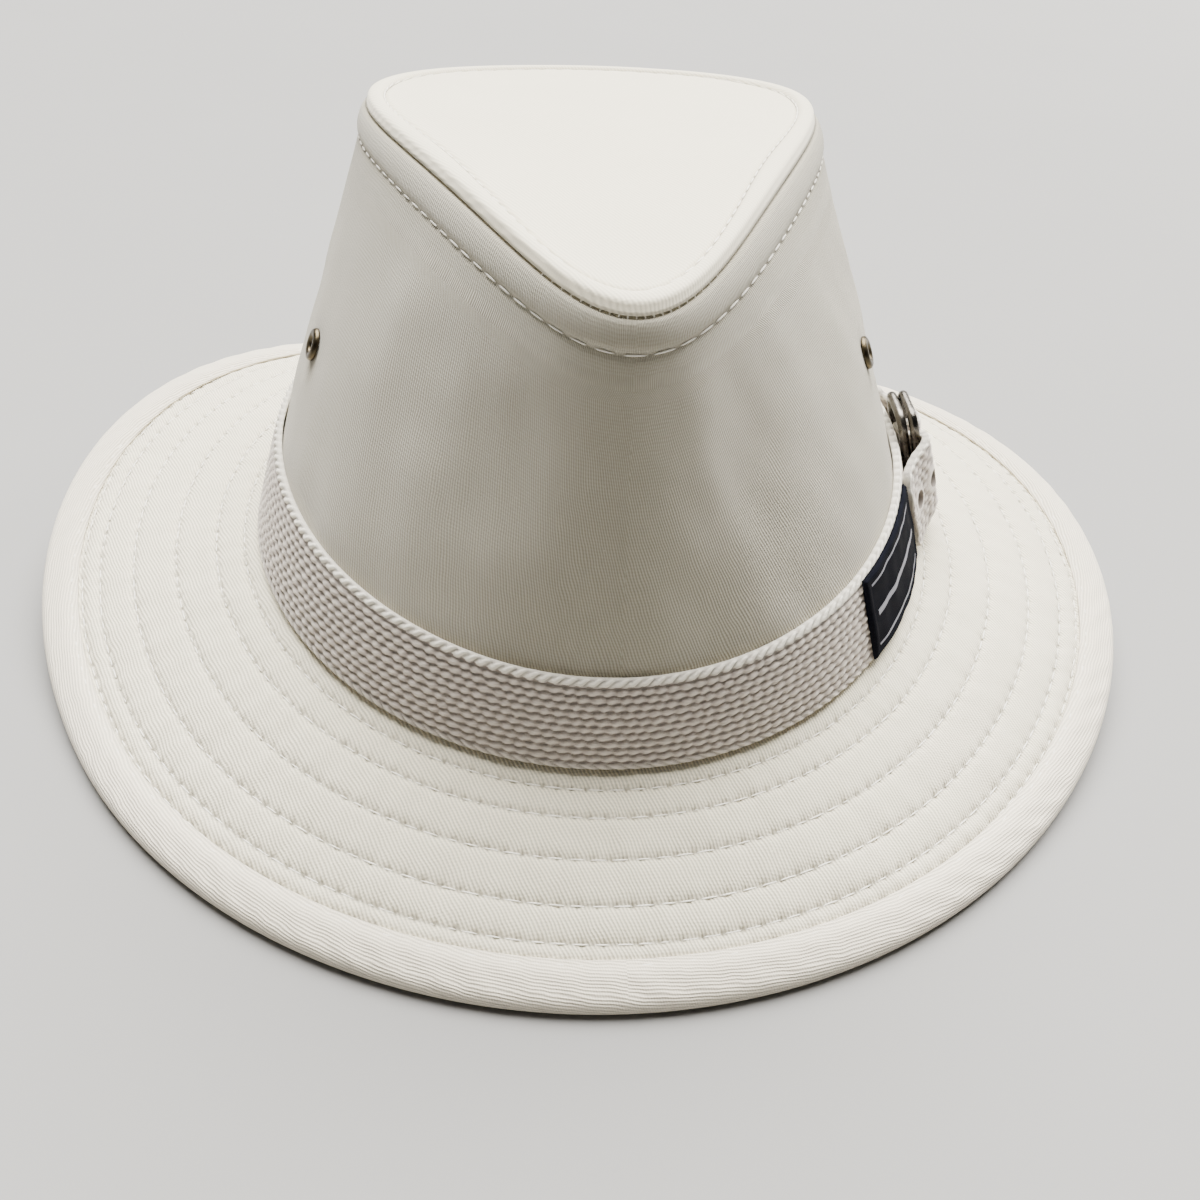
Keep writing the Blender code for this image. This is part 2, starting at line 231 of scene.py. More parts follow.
class HatSewing(bpy.types.PropertyGroup):
    """Sizes of the seams and stitches."""

    seam_edge: FloatProperty(
        name="Seam edge", description="From the crown's seam to the stitches below it",
        default=0.0066, unit="LENGTH",
    )
    tip_edge: FloatProperty(
        name="Tip edge", description="From the crown's seam to the stitches on the tip",
        default=0.0056, unit="LENGTH",
    )
    seam_puff: FloatProperty(
        name="Seam puff", description="How far the folded seam stands up", default=0.0010, unit="LENGTH",
    )
    quilt_depth: FloatProperty(
        name="Quilting depth", description="How deep a sewn row sinks in the brim",
        default=0.00090, unit="LENGTH",
    )
    stitch_pitch: FloatProperty(
        name="Stitch pitch", description="From one stitch to the next", default=0.0046, unit="LENGTH",
    )
    thread: FloatProperty(
        name="Thread", description="The sewing thread's diameter", default=0.00038, unit="LENGTH",
    )


class HatCloth(bpy.types.PropertyGroup):
    """Colours and weave of the cloths."""

    twill: FloatVectorProperty(
        name="Twill", description="The crown's and brim's cloth",
        default=(0.845, 0.778, 0.600), **COLOUR,
    )
    binding: FloatVectorProperty(
        name="Binding", description="The cloth rolled round the brim's edge",
        default=(0.850, 0.772, 0.620), **COLOUR,
    )
    thread: FloatVectorProperty(
        name="Thread", description="The sewing thread",
        default=(0.90, 0.865, 0.77), **COLOUR,
    )
    twill_pitch: FloatProperty(
        name="Twill pitch", description="From one twill line to the next", default=0.00078, unit="LENGTH",
    )


class HatTrim(bpy.types.PropertyGroup):
    """The band, buckle, label and eyelets."""

    webbing: FloatVectorProperty(
        name="Webbing", description="The webbing's cotton",
        default=(0.50, 0.435, 0.375), **COLOUR,
    )
    selvedge: FloatVectorProperty(
        name="Selvedge", description="The webbing's braided edges",
        default=(0.84, 0.795, 0.68), **COLOUR,
    )
    ridges: IntProperty(
        name="Ridges", description="Ridges of stitches across the webbing", default=12, min=4, max=20,
    )
    loop_pitch: FloatProperty(
        name="Loop pitch", description="From one webbing stitch to the next", default=0.0036, unit="LENGTH",
    )
    relief: FloatProperty(
        name="Relief", description="How far the webbing's stitches stand up", default=0.00066, unit="LENGTH",
    )
    label: FloatVectorProperty(
        name="Label", description="The woven label's ground",
        default=(0.0022, 0.0027, 0.0055), **COLOUR,
    )
    metal: FloatVectorProperty(
        name="Ring metal", description="The buckle's dark metal",
        default=(0.13, 0.12, 0.105), **COLOUR,
    )
    brass: FloatVectorProperty(
        name="Eyelet brass", description="The eyelets' aged brass",
        default=(0.075, 0.060, 0.036), **COLOUR,
    )


class HatStage(bpy.types.PropertyGroup):
    """Floor and light."""

    floor: FloatVectorProperty(
        name="Floor", description="The plain pale floor",
        default=(0.25, 0.247, 0.240), **COLOUR,
    )
    sky: FloatProperty(
        name="Sky", description="Strength of the even light above", default=0.08, min=0.0,
    )
    horizon: FloatProperty(
        name="Horizon", description="Strength of the light low down", default=0.26, min=0.0,
    )
    key: FloatProperty(
        name="Key light", description="Strength of the broad sun behind the hat", default=19.5, min=0.0,
    )
    side: FloatProperty(
        name="Side light", description="Power of the left lamp in watts, the right one has ten times as much",
        default=1.3, min=0.0,
    )


def turned_from(angle, centre):
    """How far an angle is from a centre, the short way round."""
    return (angle - centre + math.pi) % (2 * math.pi) - math.pi


def hump(distance, spread):
    """A smooth hump of height 1 round distance 0."""
    return np.exp(-(distance / spread) ** 2)


def unit(vectors):
    """Vectors made one metre long."""
    return vectors / np.maximum(np.linalg.norm(vectors, axis=-1, keepdims=True), 1e-12)


def stack(x, y, z):
    """Points from three arrays that fit together."""
    return np.stack(np.broadcast_arrays(x, y, z), axis=-1).astype(float)


def head_point(angle):
    """Points of the head oval, in plan."""
    x = HEAD_HALF_W * np.sin(angle) * (1 - HEAD_EGG * np.cos(angle))
    return stack(x, -HEAD_HALF_L * np.cos(angle), 0.0)


def head_normal(angle):
    """The outward direction of the head oval, in plan."""
    step = 1e-3
    along = head_point(angle + step) - head_point(angle - step)
    return unit(stack(along[..., 1], -along[..., 0], 0.0))


def seam_point(angle):
    """Points of the crown's top seam, with their height above the brim."""
    across = 1 - TIP_POINT * np.cos(angle) + TIP_SHOULDER * np.cos(2 * angle)
    z = CROWN_H - FRONT_DIP * hump(turned_from(angle, 0.0), FRONT_DIP_SPREAD) + BACK_DROP * np.cos(angle)
    return stack(TIP_HALF_W * np.sin(angle) * across, -TIP_HALF_L * np.cos(angle), z)


def wall_point(angle, height):
    """Points of the crown wall's outer face at a height above the brim."""
    angle, height = np.broadcast_arrays(np.asarray(angle, float), np.asarray(height, float))
    top = seam_point(angle)
    share = height / top[..., 2]
    blend = (share - WALL_BULGE * share * (1 - share))[..., None]
    flat = top * (1.0, 1.0, 0.0)
    point = head_point(angle) * (1 - blend) + flat * blend
    for centre, level, spread, rise, deep in PINCHES:
        depth = deep * HEAD_HALF_L * hump(turned_from(angle, centre), spread) * hump(share - level, rise)
        depth = depth * np.minimum(1.0, (1 - share) / PINCH_FADE) * np.minimum(1.0, share / PINCH_FADE)
        point = point - head_normal(angle) * depth[..., None]
    point[..., 2] += BRIM_TOP_H + height
    return point


def wall_frame(angle, height):
    """The wall's points, with their directions along the band, up the cloth and outwards."""
    step = 1e-3
    along = unit(wall_point(angle + step, height) - wall_point(angle - step, height))
    rise = wall_point(angle, height + step) - wall_point(angle, height - step)
    outwards = unit(np.cross(along, rise))
    return wall_point(angle, height), along, np.cross(outwards, along), outwards


def over_wall(angle, height, lift):
    """Points that stand off the crown wall."""
    point, _, _, outwards = wall_frame(angle, height)
    return point + outwards * np.asarray(lift)[..., None]


def frame_matrix(angle, height, lift):
    """A matrix with X along the band, Y up the cloth and Z out of the wall."""
    point, along, up, outwards = (Vector(v) for v in wall_frame(angle, height))
    turn = Matrix((along, up, outwards)).transposed().to_4x4()
    return Matrix.Translation(point + outwards * lift) @ turn


def edge_lift(angle):
    """How far the brim's edge lifts off the table."""
    total = np.zeros_like(angle)
    for centre, spread, height in EDGE_LIFTS:
        share = np.minimum(np.abs(turned_from(angle, centre)) / spread, 1.0)
        total += height * np.cos(math.pi / 2 * share) ** 2
    return total


def brim_reach(angle):
    """How far the brim's edge lies out from the head oval in plan, and how far below the root."""
    width = BRIM_W - BRIM_SIDE_EXTRA * np.cos(2 * angle)
    root = BRIM_TOP_H - GAP - BRIM_T / 2
    fall = root - ROLL_R / 2
    slope = np.arctan((1 + BRIM_SAG) * fall / np.sqrt(width ** 2 - fall ** 2))
    edge = ROLL_R * (1 - np.sin(slope)) - FLATTENING + edge_lift(angle)
    drop = root - edge
    return np.sqrt(width ** 2 - drop ** 2), drop


def brim_point(angle, out):
    """Points of the brim's middle surface, a distance out from the head oval."""
    angle, out = np.broadcast_arrays(np.asarray(angle, float), np.asarray(out, float))
    reach, drop = brim_reach(angle)
    share = np.maximum(0.0, out / reach)
    fall = drop * share * (1 - BRIM_SAG + BRIM_SAG * share)
    point = head_point(angle) + head_normal(angle) * out[..., None]
    point[..., 2] += BRIM_TOP_H - GAP - BRIM_T / 2 - fall
    return point


def brim_frame(angle, out):
    """The brim's middle points, with their upward direction."""
    step = 1e-3
    along = brim_point(angle + step, out) - brim_point(angle - step, out)
    outward = brim_point(angle, out + step) - brim_point(angle, out - step)
    return brim_point(angle, out), unit(np.cross(outward, along))


def waves(u, v, seed, size, octaves=3):
    """A gentle uneven surface from a fixed set of sine waves, between about -1 and 1."""
    rng = np.random.default_rng(seed)
    total = np.zeros(np.broadcast(u, v).shape)
    for octave in range(octaves):
        for _ in range(5):
            turn = rng.uniform(0, 2 * math.pi)
            phase = rng.uniform(0, 2 * math.pi)
            count = 2 * math.pi / size * (1.6 ** octave) * rng.uniform(0.7, 1.3)
            total += np.sin(count * (u * math.cos(turn) + v * math.sin(turn)) + phase) / (5 * 1.5 ** octave)
    return total


def new_object(name, data):
    """An object in the scene for a mesh, a lamp or a camera."""
    item = bpy.data.objects.new(name, data)
    bpy.context.scene.collection.objects.link(item)
    return item


def evaluated_mesh(item):
    """An object's shape with its modifiers, as a plain mesh that replaces its own."""
    graph = bpy.context.evaluated_depsgraph_get()
    graph.update()
    made = bpy.data.meshes.new_from_object(item.evaluated_get(graph))
    item.modifiers.clear()
    item.data = made
    return made


def placed(local, matrix):
    """Points moved by a matrix."""
    return local @ np.array(matrix.to_3x3()).T + np.array(matrix.translation)


def grid_mesh(name, points, uvs, wrap_rows, wrap_cols, marks=None):
    """A mesh object from a grid of points, closed round where asked, with its UV map and point marks."""
    rows, cols = points.shape[:2]
    index = np.arange(rows * cols).reshape(rows, cols)
    r = np.arange(rows if wrap_rows else rows - 1)
    c = np.arange(cols if wrap_cols else cols - 1)
    r2, c2 = (r + 1) % rows, (c + 1) % cols
    quads = np.stack([index[np.ix_(a, b)] for a, b in ((r, c), (r, c2), (r2, c2), (r2, c))], axis=-1)
    quads = quads.reshape(-1, 4)
    mesh = bpy.data.meshes.new(name)
    mesh.from_pydata(points.reshape(-1, 3).tolist(), [], quads.tolist())
    layer = mesh.uv_layers.new(name="cloth")
    ends = [uvs[np.ix_(a, b)] for a, b in ((r, c), (r, c + 1), (r + 1, c + 1), (r + 1, c))]
    layer.data.foreach_set("uv", np.stack(ends, axis=2).reshape(-1).astype(np.float32))
    for mark, values in (marks or {}).items():
        made = mesh.attributes.new(mark, "FLOAT", "POINT")
        made.data.foreach_set("value", values.reshape(-1).astype(np.float32))
    mesh.polygons.foreach_set("use_smooth", [True] * len(mesh.polygons))
    mesh.update()
    return new_object(name, mesh)


def cap(item, loops):
    """Close the open ends of a grid with a fan round each given row of point numbers."""
    work = bmesh.new()
    work.from_mesh(item.data)
    work.verts.ensure_lookup_table()
    ends = [[work.verts[i] for i in loop] for loop in loops]
    for end in ends:
        hub = work.verts.new(sum((corner.co for corner in end), Vector()) / len(end))
        for corner, after in zip(end, end[1:] + end[:1]):
            work.faces.new((corner, after, hub)).smooth = True
    work.to_mesh(item.data)
    work.free()


def uv_grid(u, v, swap=False):
    """UV places for a grid: u along the columns and v along the rows, or the other way round."""
    if swap:
        return np.stack(np.broadcast_arrays(u[:, None], v[None, :]), axis=-1)
    return np.stack(np.broadcast_arrays(u[None, :], v[:, None]), axis=-1)


def around_uv(count, radius):
    """The UV distances of a number of columns round a circle, with one more to close it."""
    return np.append(columns(count), 2 * math.pi) * radius


def ramp(distance, width):
    """A rise from 0 to 1 over a width."""
    return np.clip(distance / width, 0.0, 1.0)


def finish_piece(item, skin, slot, *nodes):
    """Give a piece its material and body, and hide its CAD nodes; its finish slot is not used."""
    item.data.materials.clear()
    item.data.materials.append(skin)
    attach(item, BODY)
    if nodes:
        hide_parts(*nodes)
    return item


def columns(count):
    """Angles of a number of columns round the crown."""
    return 2 * math.pi * np.arange(count) / count


def add_node(tree, kind, settings=None, **inputs):
    """A node with its settings and its inputs, each a value or another node's output."""
    node = tree.nodes.new(kind)
    for key, value in (settings or {}).items():
        setattr(node, key, value)
    for key, value in inputs.items():
        socket = node.inputs[int(key[1:])] if key[1:].isdigit() else node.inputs[key.replace("_", " ")]
        put_value(tree, value, socket)
    return node


def put_value(tree, value, socket):
    """Set or link a value to a socket."""
    if isinstance(value, bpy.types.NodeSocket):
        tree.links.new(value, socket)
    elif isinstance(value, (tuple, list)) and len(value) == 3 and socket.type == "RGBA":
        socket.default_value = (*value, 1.0)
    else:
        socket.default_value = value


class Nodes:
    """A short way to build a material's nodes."""

    def __init__(self, name):
        self.material = bpy.data.materials.new(name)
        self.material.use_nodes = True
        self.tree = self.material.node_tree
        self.shader = self.tree.nodes["Principled BSDF"]
        self.add = functools.partial(add_node, self.tree)

    def math(self, operation, first, second=0.0):
        """A math node's output."""
        return self.add("ShaderNodeMath", {"operation": operation}, i0=first, i1=second).outputs[0]

    def plus(self, first, second):
        """The sum of two values."""
        return self.math("ADD", first, second)

    def times(self, first, second):
        """The product of two values."""
        return self.math("MULTIPLY", first, second)

    def ribs(self, value, pitch, low, high):
        """A sine wave over a value, one to a pitch, between a low and a high value."""
        return self.span(self.math("SINE", self.times(value, 2 * math.pi / pitch)), -1, 1, low, high)

    def uv(self, turn=0.0, scale=(1, 1, 1)):
        """The piece's UV map, turned and scaled."""
        place = self.add("ShaderNodeUVMap", {"uv_map": "cloth"}).outputs["UV"]
        return self.add("ShaderNodeMapping", Vector=place, Rotation=(0, 0, turn), Scale=scale).outputs[0]

    def place(self, turn=0.0, scale=(1, 1, 1)):
        """Object coordinates, turned and scaled."""
        spot = self.add("ShaderNodeTexCoord").outputs["Object"]
        return self.add("ShaderNodeMapping", Vector=spot, Rotation=(0, 0, turn), Scale=scale).outputs[0]

    def noise(self, spot, scale, detail=3.0, roughness=0.55):
        """A noise texture's factor."""
        return self.add(
            "ShaderNodeTexNoise", Vector=spot, Scale=scale, Detail=detail, Roughness=roughness
        ).outputs["Fac"]

    def mix(self, factor, first, second):
        """A mixed colour."""
        return self.add("ShaderNodeMix", {"data_type": "RGBA"}, i0=factor, i6=first, i7=second).outputs[2]

    def blend(self, value, first, second, low=0.3, high=0.7):
        """A colour that goes from the first to the second while a value goes from low to high."""
        return self.mix(self.span(value, low, high, 0.0, 1.0), first, second)

    def span(self, value, low, high, out_low, out_high):
        """A value moved from one range to another."""
        return self.add(
            "ShaderNodeMapRange", Value=value, From_Min=low, From_Max=high, To_Min=out_low, To_Max=out_high
        ).outputs[0]

    def relief(self, height, distance, strength=1.0):
        """A bump on the shader from a height."""
        node = self.add("ShaderNodeBump", Height=height, Strength=strength, Distance=distance)
        self.tree.links.new(node.outputs["Normal"], self.shader.inputs["Normal"])

    def finish(self, **inputs):
        """Set the shader's inputs."""
        for key, value in inputs.items():
            put_value(self.tree, value, self.shader.inputs[key.replace("_", " ")])
        return self.material


def shade(colour, factor):
    """A colour made darker or lighter."""
    return tuple(min(1.0, c * factor) for c in colour)


def twill_cloth(name, colour, pitch, degrees, strength, depth, flat=False):
    """Cotton twill: fine diagonal ribs broken by the warp's floats, a few slubs and specks, and painted shade
    along sewn creases and in needle holes.
    """
    make = Nodes(name)
    turn = math.radians(degrees)
    spot = make.place(turn) if flat else make.uv(turn)
    split = make.add("ShaderNodeSeparateXYZ", Vector=spot)
    drift = make.times(make.math("SUBTRACT", make.noise(spot, 90.0, 2.0), 0.5), pitch * 2.2)
    across = make.math("DIVIDE", make.plus(split.outputs["X"], drift), pitch)
    floats = make.plus(make.math("DIVIDE", split.outputs["Y"], pitch * 0.9), make.times(across, 0.5))
    weave = make.plus(make.ribs(across, 1.0, 0.0, 0.8), make.ribs(floats, 1.0, 0.0, 0.2))
    fuzz = make.noise(spot, 2600.0, 2.0)
    make.relief(make.plus(weave, make.times(fuzz, 0.8)), TWILL_RELIEF, strength)
    tone = make.blend(make.noise(spot, 14.0), shade(colour, 0.965), shade(colour, 1.02))
    ribbed = make.mix(make.span(weave, 0.1, 0.9, depth, 0.0), tone, shade(colour, 0.52))
    # Painted shade: a piece's mark darkens the cloth along its sewn creases and in its needle holes
    holes = make.add("ShaderNodeAttribute", {"attribute_name": "pricks"}).outputs["Fac"]
    ribbed = make.mix(make.span(holes, 0.12, 0.9, 0.0, 0.8), ribbed, shade(colour, 0.25))
    specks = make.span(make.noise(spot, 1100.0, 1.0), 0.74, 0.80, 0.0, 0.5)
    colour_out = make.mix(specks, ribbed, shade(colour, 1.2))
    return make.finish(Base_Color=colour_out, Roughness=0.92, Sheen_Weight=0.25, Sheen_Roughness=0.5)


def webbing_cloth(name, trim):
    """Cotton webbing: yarn strands along the stitches, a paler selvedge, painted highlights on the crests of
    its relief and painted shade in its hollows.
    """
    make = Nodes(name)
    spot = make.uv()
    high = make.add("ShaderNodeAttribute", {"attribute_name": "high"}).outputs["Fac"]
    edge = make.add("ShaderNodeAttribute", {"attribute_name": "selvedge"}).outputs["Fac"]
    strands = make.noise(make.uv(0.35, (500, 2600, 1)), 1.0)
    body = make.blend(strands, shade(trim.webbing, 0.80), shade(trim.webbing, 1.14), 0.35, 0.65)
    pale = make.blend(strands, shade(trim.selvedge, 0.94), shade(trim.selvedge, 1.05), 0.35, 0.65)
    cloth = make.mix(edge, body, pale)
    # Painted highlight: the crests of the relief are lightened towards the selvedge's cream
    crest_highlight = make.mix(make.span(high, 0.6, 1.0, 0.0, 0.45), cloth, tuple(trim.selvedge))
    # Painted shade: the hollows between the strands are darkened
    sunk = make.mix(make.span(high, 0.02, 0.5, 0.8, 0.0), crest_highlight, shade(trim.webbing, 0.32))
    patches = make.noise(spot, 25.0, 2.0)
    tone = make.mix(make.span(patches, 0.35, 0.65, 0.0, 0.12), sunk, shade(trim.webbing, 0.7))
    fuzz = make.times(make.noise(spot, 3200.0), 0.5)
    make.relief(make.plus(make.times(strands, 0.8), fuzz), YARN_RELIEF, 0.9)
    return make.finish(Base_Color=tone, Roughness=0.95, Sheen_Weight=0.3, Sheen_Roughness=0.55)


def thread_material(name, colour):
    """Twisted sewing thread."""
    make = Nodes(name)
    fibre = make.noise(make.place(), 5200.0, 2.0)
    tone = make.blend(fibre, shade(colour, 0.86), shade(colour, 1.05))
    make.relief(fibre, FIBRE_RELIEF, 0.6)
    return make.finish(Base_Color=tone, Roughness=0.72, Sheen_Weight=0.15, Sheen_Roughness=0.4)


def label_cloth(name, trim):
    """A dark woven label with fine ribs, a broad pale line along its middle and a thin one near each edge."""
    make = Nodes(name)
    place = make.add("ShaderNodeUVMap", {"uv_map": "cloth"}).outputs["UV"]
    split = make.add("ShaderNodeSeparateXYZ", Vector=place)
    along, up = split.outputs["X"], split.outputs["Y"]
    weave = make.times(make.ribs(up, LABEL_RIB, 0.2, 1.0), make.ribs(along, LABEL_PICK, 0.5, 1.0))
    fuzz = make.noise(make.uv(), 3800.0, 2.0)
    make.relief(make.plus(weave, make.times(fuzz, 0.5)), LABEL_RELIEF, 0.8)
    from_middle = make.math("ABSOLUTE", make.math("SUBTRACT", up, BAND_H / 2))
    from_end = make.math("MINIMUM", along, make.math("SUBTRACT", LABEL_L, along))
    broad = make.math("LESS_THAN", from_middle, LABEL_BROAD_LINE / 2)
    broad = make.times(broad, make.math("GREATER_THAN", from_end, LABEL_BROAD_END))
    thin = make.math("COMPARE", from_middle, BAND_H / 2 - LABEL_THIN_SETBACK)
    thin.node.inputs[2].default_value = LABEL_THIN_LINE / 2
    thin = make.times(thin, make.math("GREATER_THAN", from_end, LABEL_THIN_END))
    lines = make.times(make.math("MAXIMUM", broad, thin), make.span(weave, 0.1, 0.9, 0.55, 1.0))
    ground = make.blend(fuzz, shade(trim.label, 0.8), shade(trim.label, 1.6), 0.35, 0.65)
    figured = make.mix(lines, ground, LABEL_LINE_COLOUR)
    return make.finish(Base_Color=figured, Roughness=0.95, Specular_IOR_Level=0.06)


def metal_material(name, colour, roughness, wear):
    """Dark plated metal with faint scratches, duller hollows and brighter worn places."""
    make = Nodes(name)
    blotch = make.noise(make.place(), 260.0, 4.0)
    fine = make.noise(make.place(0.6, (1, 9, 1)), 900.0, 2.0)
    tone = make.blend(blotch, shade(colour, 0.72), shade(colour, wear), 0.35, 0.7)
    rough = make.span(blotch, 0.3, 0.7, roughness - 0.06, roughness + 0.10)
    rough = make.plus(rough, make.span(fine, 0.4, 0.6, 0.0, 0.05))
    make.relief(make.plus(fine, blotch), SCRATCH_RELIEF, 0.35)
    return make.finish(Base_Color=tone, Metallic=1.0, Roughness=rough)


def floor_material(colour):
    """A plain matt floor."""
    make = Nodes("pale floor")
    tone = make.blend(make.noise(make.place(), 9.0), shade(colour, 0.985), shade(colour, 1.01))
    return make.finish(Base_Color=tone, Roughness=0.85)


def sewn_rows_tree():
    """A Geometry Nodes tree that lays short stitches along a path, turned to the cloth under them."""
    tree = bpy.data.node_groups.new("sewn row", "GeometryNodeTree")
    face = tree.interface
    face.new_socket("Path", in_out="INPUT", socket_type="NodeSocketGeometry")
    for name, default in (("Pitch", 0.0046), ("Length", 0.0038), ("Thread", 0.00036), ("Height", 0.0)):
        face.new_socket(name, in_out="INPUT", socket_type="NodeSocketFloat").default_value = default
    face.new_socket("Seed", in_out="INPUT", socket_type="NodeSocketInt").default_value = STITCH_SEED
    face.new_socket("Material", in_out="INPUT", socket_type="NodeSocketMaterial")
    face.new_socket("Stitches", in_out="OUTPUT", socket_type="NodeSocketGeometry")
    add = functools.partial(add_node, tree)
    given = add("NodeGroupInput").outputs
    curve = add("GeometryNodeMeshToCurve", Mesh=given["Path"]).outputs[0]
    even = add("GeometryNodeResampleCurve", {"mode": "LENGTH"}, Curve=curve, Length=given["Pitch"]).outputs[0]
    out = add("GeometryNodeInputNamedAttribute", {"data_type": "FLOAT_VECTOR"}, Name="outwards").outputs[0]
    way = add("GeometryNodeInputTangent").outputs[0]
    upright = add("FunctionNodeAlignRotationToVector", {"axis": "Z"}, Vector=out).outputs[0]
    turned = add("FunctionNodeAlignRotationToVector", {"axis": "X", "pivot_axis": "Z"},
                 Rotation=upright, Vector=way).outputs[0]
    ball = add("GeometryNodeMeshUVSphere", Segments=8, Rings=6, Radius=0.5).outputs[0]
    size = add("ShaderNodeCombineXYZ", X=given["Length"], Y=given["Thread"], Z=given["Thread"]).outputs[0]
    stitch = add("GeometryNodeTransform", Geometry=ball, Scale=size).outputs[0]
    low, high = STITCH_SIZES
    real = {"data_type": "FLOAT"}
    vary = add("FunctionNodeRandomValue", real, i2=low, i3=high, Seed=given["Seed"]).outputs[1]
    lift = add("ShaderNodeVectorMath", {"operation": "SCALE"}, i0=out, Scale=given["Height"]).outputs[0]
    raised = add("GeometryNodeSetPosition", Geometry=even, Offset=lift).outputs[0]
    row = add(
        "GeometryNodeInstanceOnPoints", Points=raised, Instance=stitch, Rotation=turned, Scale=vary,
    ).outputs[0]
    real = add("GeometryNodeRealizeInstances", Geometry=row).outputs[0]
    skin = add("GeometryNodeSetMaterial", Geometry=real, Material=given["Material"]).outputs[0]
    add("NodeGroupOutput", i0=skin)
    return tree


def sew(name, paths, slot, skin, pitch, length, thread, height):
    """Lay stitches along paths, each a row of points, their outward directions and whether it closes."""
    points, normals, edges = [], [], []
    for row, out, closed in paths:
        start = len(points)
        points.extend(row.tolist())
        normals.extend(out.reshape(-1).tolist())
        edges.extend((start + i, start + i + 1) for i in range(len(row) - 1))
        if closed:
            edges.append((start + len(row) - 1, start))
    mesh = bpy.data.meshes.new(name + "_path")
    mesh.from_pydata(points, edges, [])
    mesh.attributes.new("outwards", "FLOAT_VECTOR", "POINT").data.foreach_set("vector", normals)
    item = new_object(name, mesh)
    tree = bpy.data.node_groups.get("sewn row") or sewn_rows_tree()
    rows = item.modifiers.new("stitches", "NODES")
    rows.node_group = tree
    values = {
        "Pitch": pitch,
        "Length": length,
        "Thread": thread,
        "Height": height,
        "Seed": STITCH_SEED,
        "Material": skin,
    }
    for socket in tree.interface.items_tree:
        if socket.in_out == "INPUT" and socket.name in values:
            rows[socket.identifier] = values[socket.name]
    return plain_mesh(item, skin, slot)


def plain_mesh(item, skin, slot):
    """Turn an object's evaluated shape into its own plain mesh."""
    made = evaluated_mesh(item)
    made.polygons.foreach_set("use_smooth", [True] * len(made.polygons))
    return finish_piece(item, skin, slot)


def puff(distance, width, height):
    """The rise of a folded seam edge, from the seam to its row of stitches."""
    share = ramp(distance, width)
    return height * np.sin(math.pi * share) ** 0.6 * np.where(share < 1.0, 1.0, 0.0)


def fold(distance, radius):
    """How far a rounded fold drops away near its edge."""
    near = np.clip(radius - distance, 0.0, radius)
    return radius - np.sqrt(np.maximum(0.0, radius ** 2 - near ** 2))


def wall_relief(angle, below, sewing):
    """The crown wall's relief: its seam edge, the sunk stitches and soft wrinkles."""
    along = angle * HEAD_HALF_L
    rise = puff(below, sewing.seam_edge, sewing.seam_puff)
    sunk = 0.0004 * hump(below - sewing.seam_edge, ROW_SPREAD)
    pucker = 1 + 0.25 * np.cos(2 * math.pi * along / sewing.stitch_pitch)
    soft = WALL_WRINKLE * waves(along, below, 3, 0.045) * ramp(below - 0.004, 0.02)
    return rise - sunk * pucker + soft


def make_crown_side(sewing, skin):
    """The crown's wall with its folded top edge and the eyelets' holes."""
    angle = columns(CROWN_COLUMNS)[None, :]
    top = seam_point(angle)[..., 2]
    foot = FOOT_LEAN * CLOTH_T
    below = np.linspace(1.0, SEAM_SHARE, SEAM_ROWS, endpoint=False)[:, None]
    fine = np.linspace(SEAM_ZONE, 0.0, SEAM_ROWS)[:, None]
    coarse = SEAM_ZONE + (top - foot - SEAM_ZONE) * (below - SEAM_SHARE) / (1 - SEAM_SHARE)
    down = np.concatenate([coarse, np.broadcast_to(fine, coarse.shape)])
    height = np.maximum(top - down, foot)
    point, _, _, out = wall_frame(angle, np.minimum(height, top))
    lift = wall_relief(angle, down, sewing) - fold(down, FOLD_R)
    clear = ramp(height - BAND_H, 0.004)
    outer = point + out * (lift * clear + np.minimum(lift, 0.0) * (1 - clear))[..., None]
    inner_down = np.linspace(0.0004, 1.0, WALL_INNER_ROWS)[:, None] * (top - foot - 0.0004)
    in_point, _, _, in_out = wall_frame(angle, top - inner_down)
    inner = in_point - in_out * CLOTH_T
    points = np.concatenate([outer, inner])[::-1]
    wide = around_uv(CROWN_COLUMNS, HEAD_HALF_L)
    rise = np.concatenate([
        CROWN_H * (1 - below[:, 0]),
        CROWN_H - fine[:, 0],
        CROWN_H + np.linspace(0, 1, WALL_INNER_ROWS + 1) * CROWN_H,
    ])
    # Painted shade in the creases under the seam's row of stitches
    crease_shade = 0.16 * hump(down - sewing.seam_edge - 0.0003, CREASE_SHADE_SPREAD)
    marks = {"pricks": np.concatenate([crease_shade, np.zeros((WALL_INNER_ROWS, CROWN_COLUMNS))])[::-1]}
    wall = grid_mesh("crown_wall_cloth", points, uv_grid(wide, rise[::-1]), True, True, marks)
    for _, hole_angle, hole_height in EYELET_PLACES:
        matrix = frame_matrix(hole_angle, hole_height, 0.0)
        cut(wall, pin("cutter", EYELET_BARREL_D + 2 * GAP, 8 * CLOTH_T, matrix))
    return finish_piece(wall, skin, "crown_twill", "crown_side")


def pin(name, diameter, depth, matrix):
    """A round bar to cut a hole with."""
    mesh = bpy.data.meshes.new(name)
    work = bmesh.new()
    radius = diameter / 2
    bmesh.ops.create_cone(
        work, cap_ends=True, segments=40, radius1=radius, radius2=radius, depth=depth, matrix=matrix,
    )
    work.to_mesh(mesh)
    work.free()
    return new_object(name, mesh)


def cut(item, cutter):
    """Cut one object out of another, and remove the cutter."""
    hole = item.modifiers.new("hole", "BOOLEAN")
    hole.object = cutter
    hole.operation = "DIFFERENCE"
    evaluated_mesh(item)
    bpy.data.objects.remove(cutter, do_unlink=True)


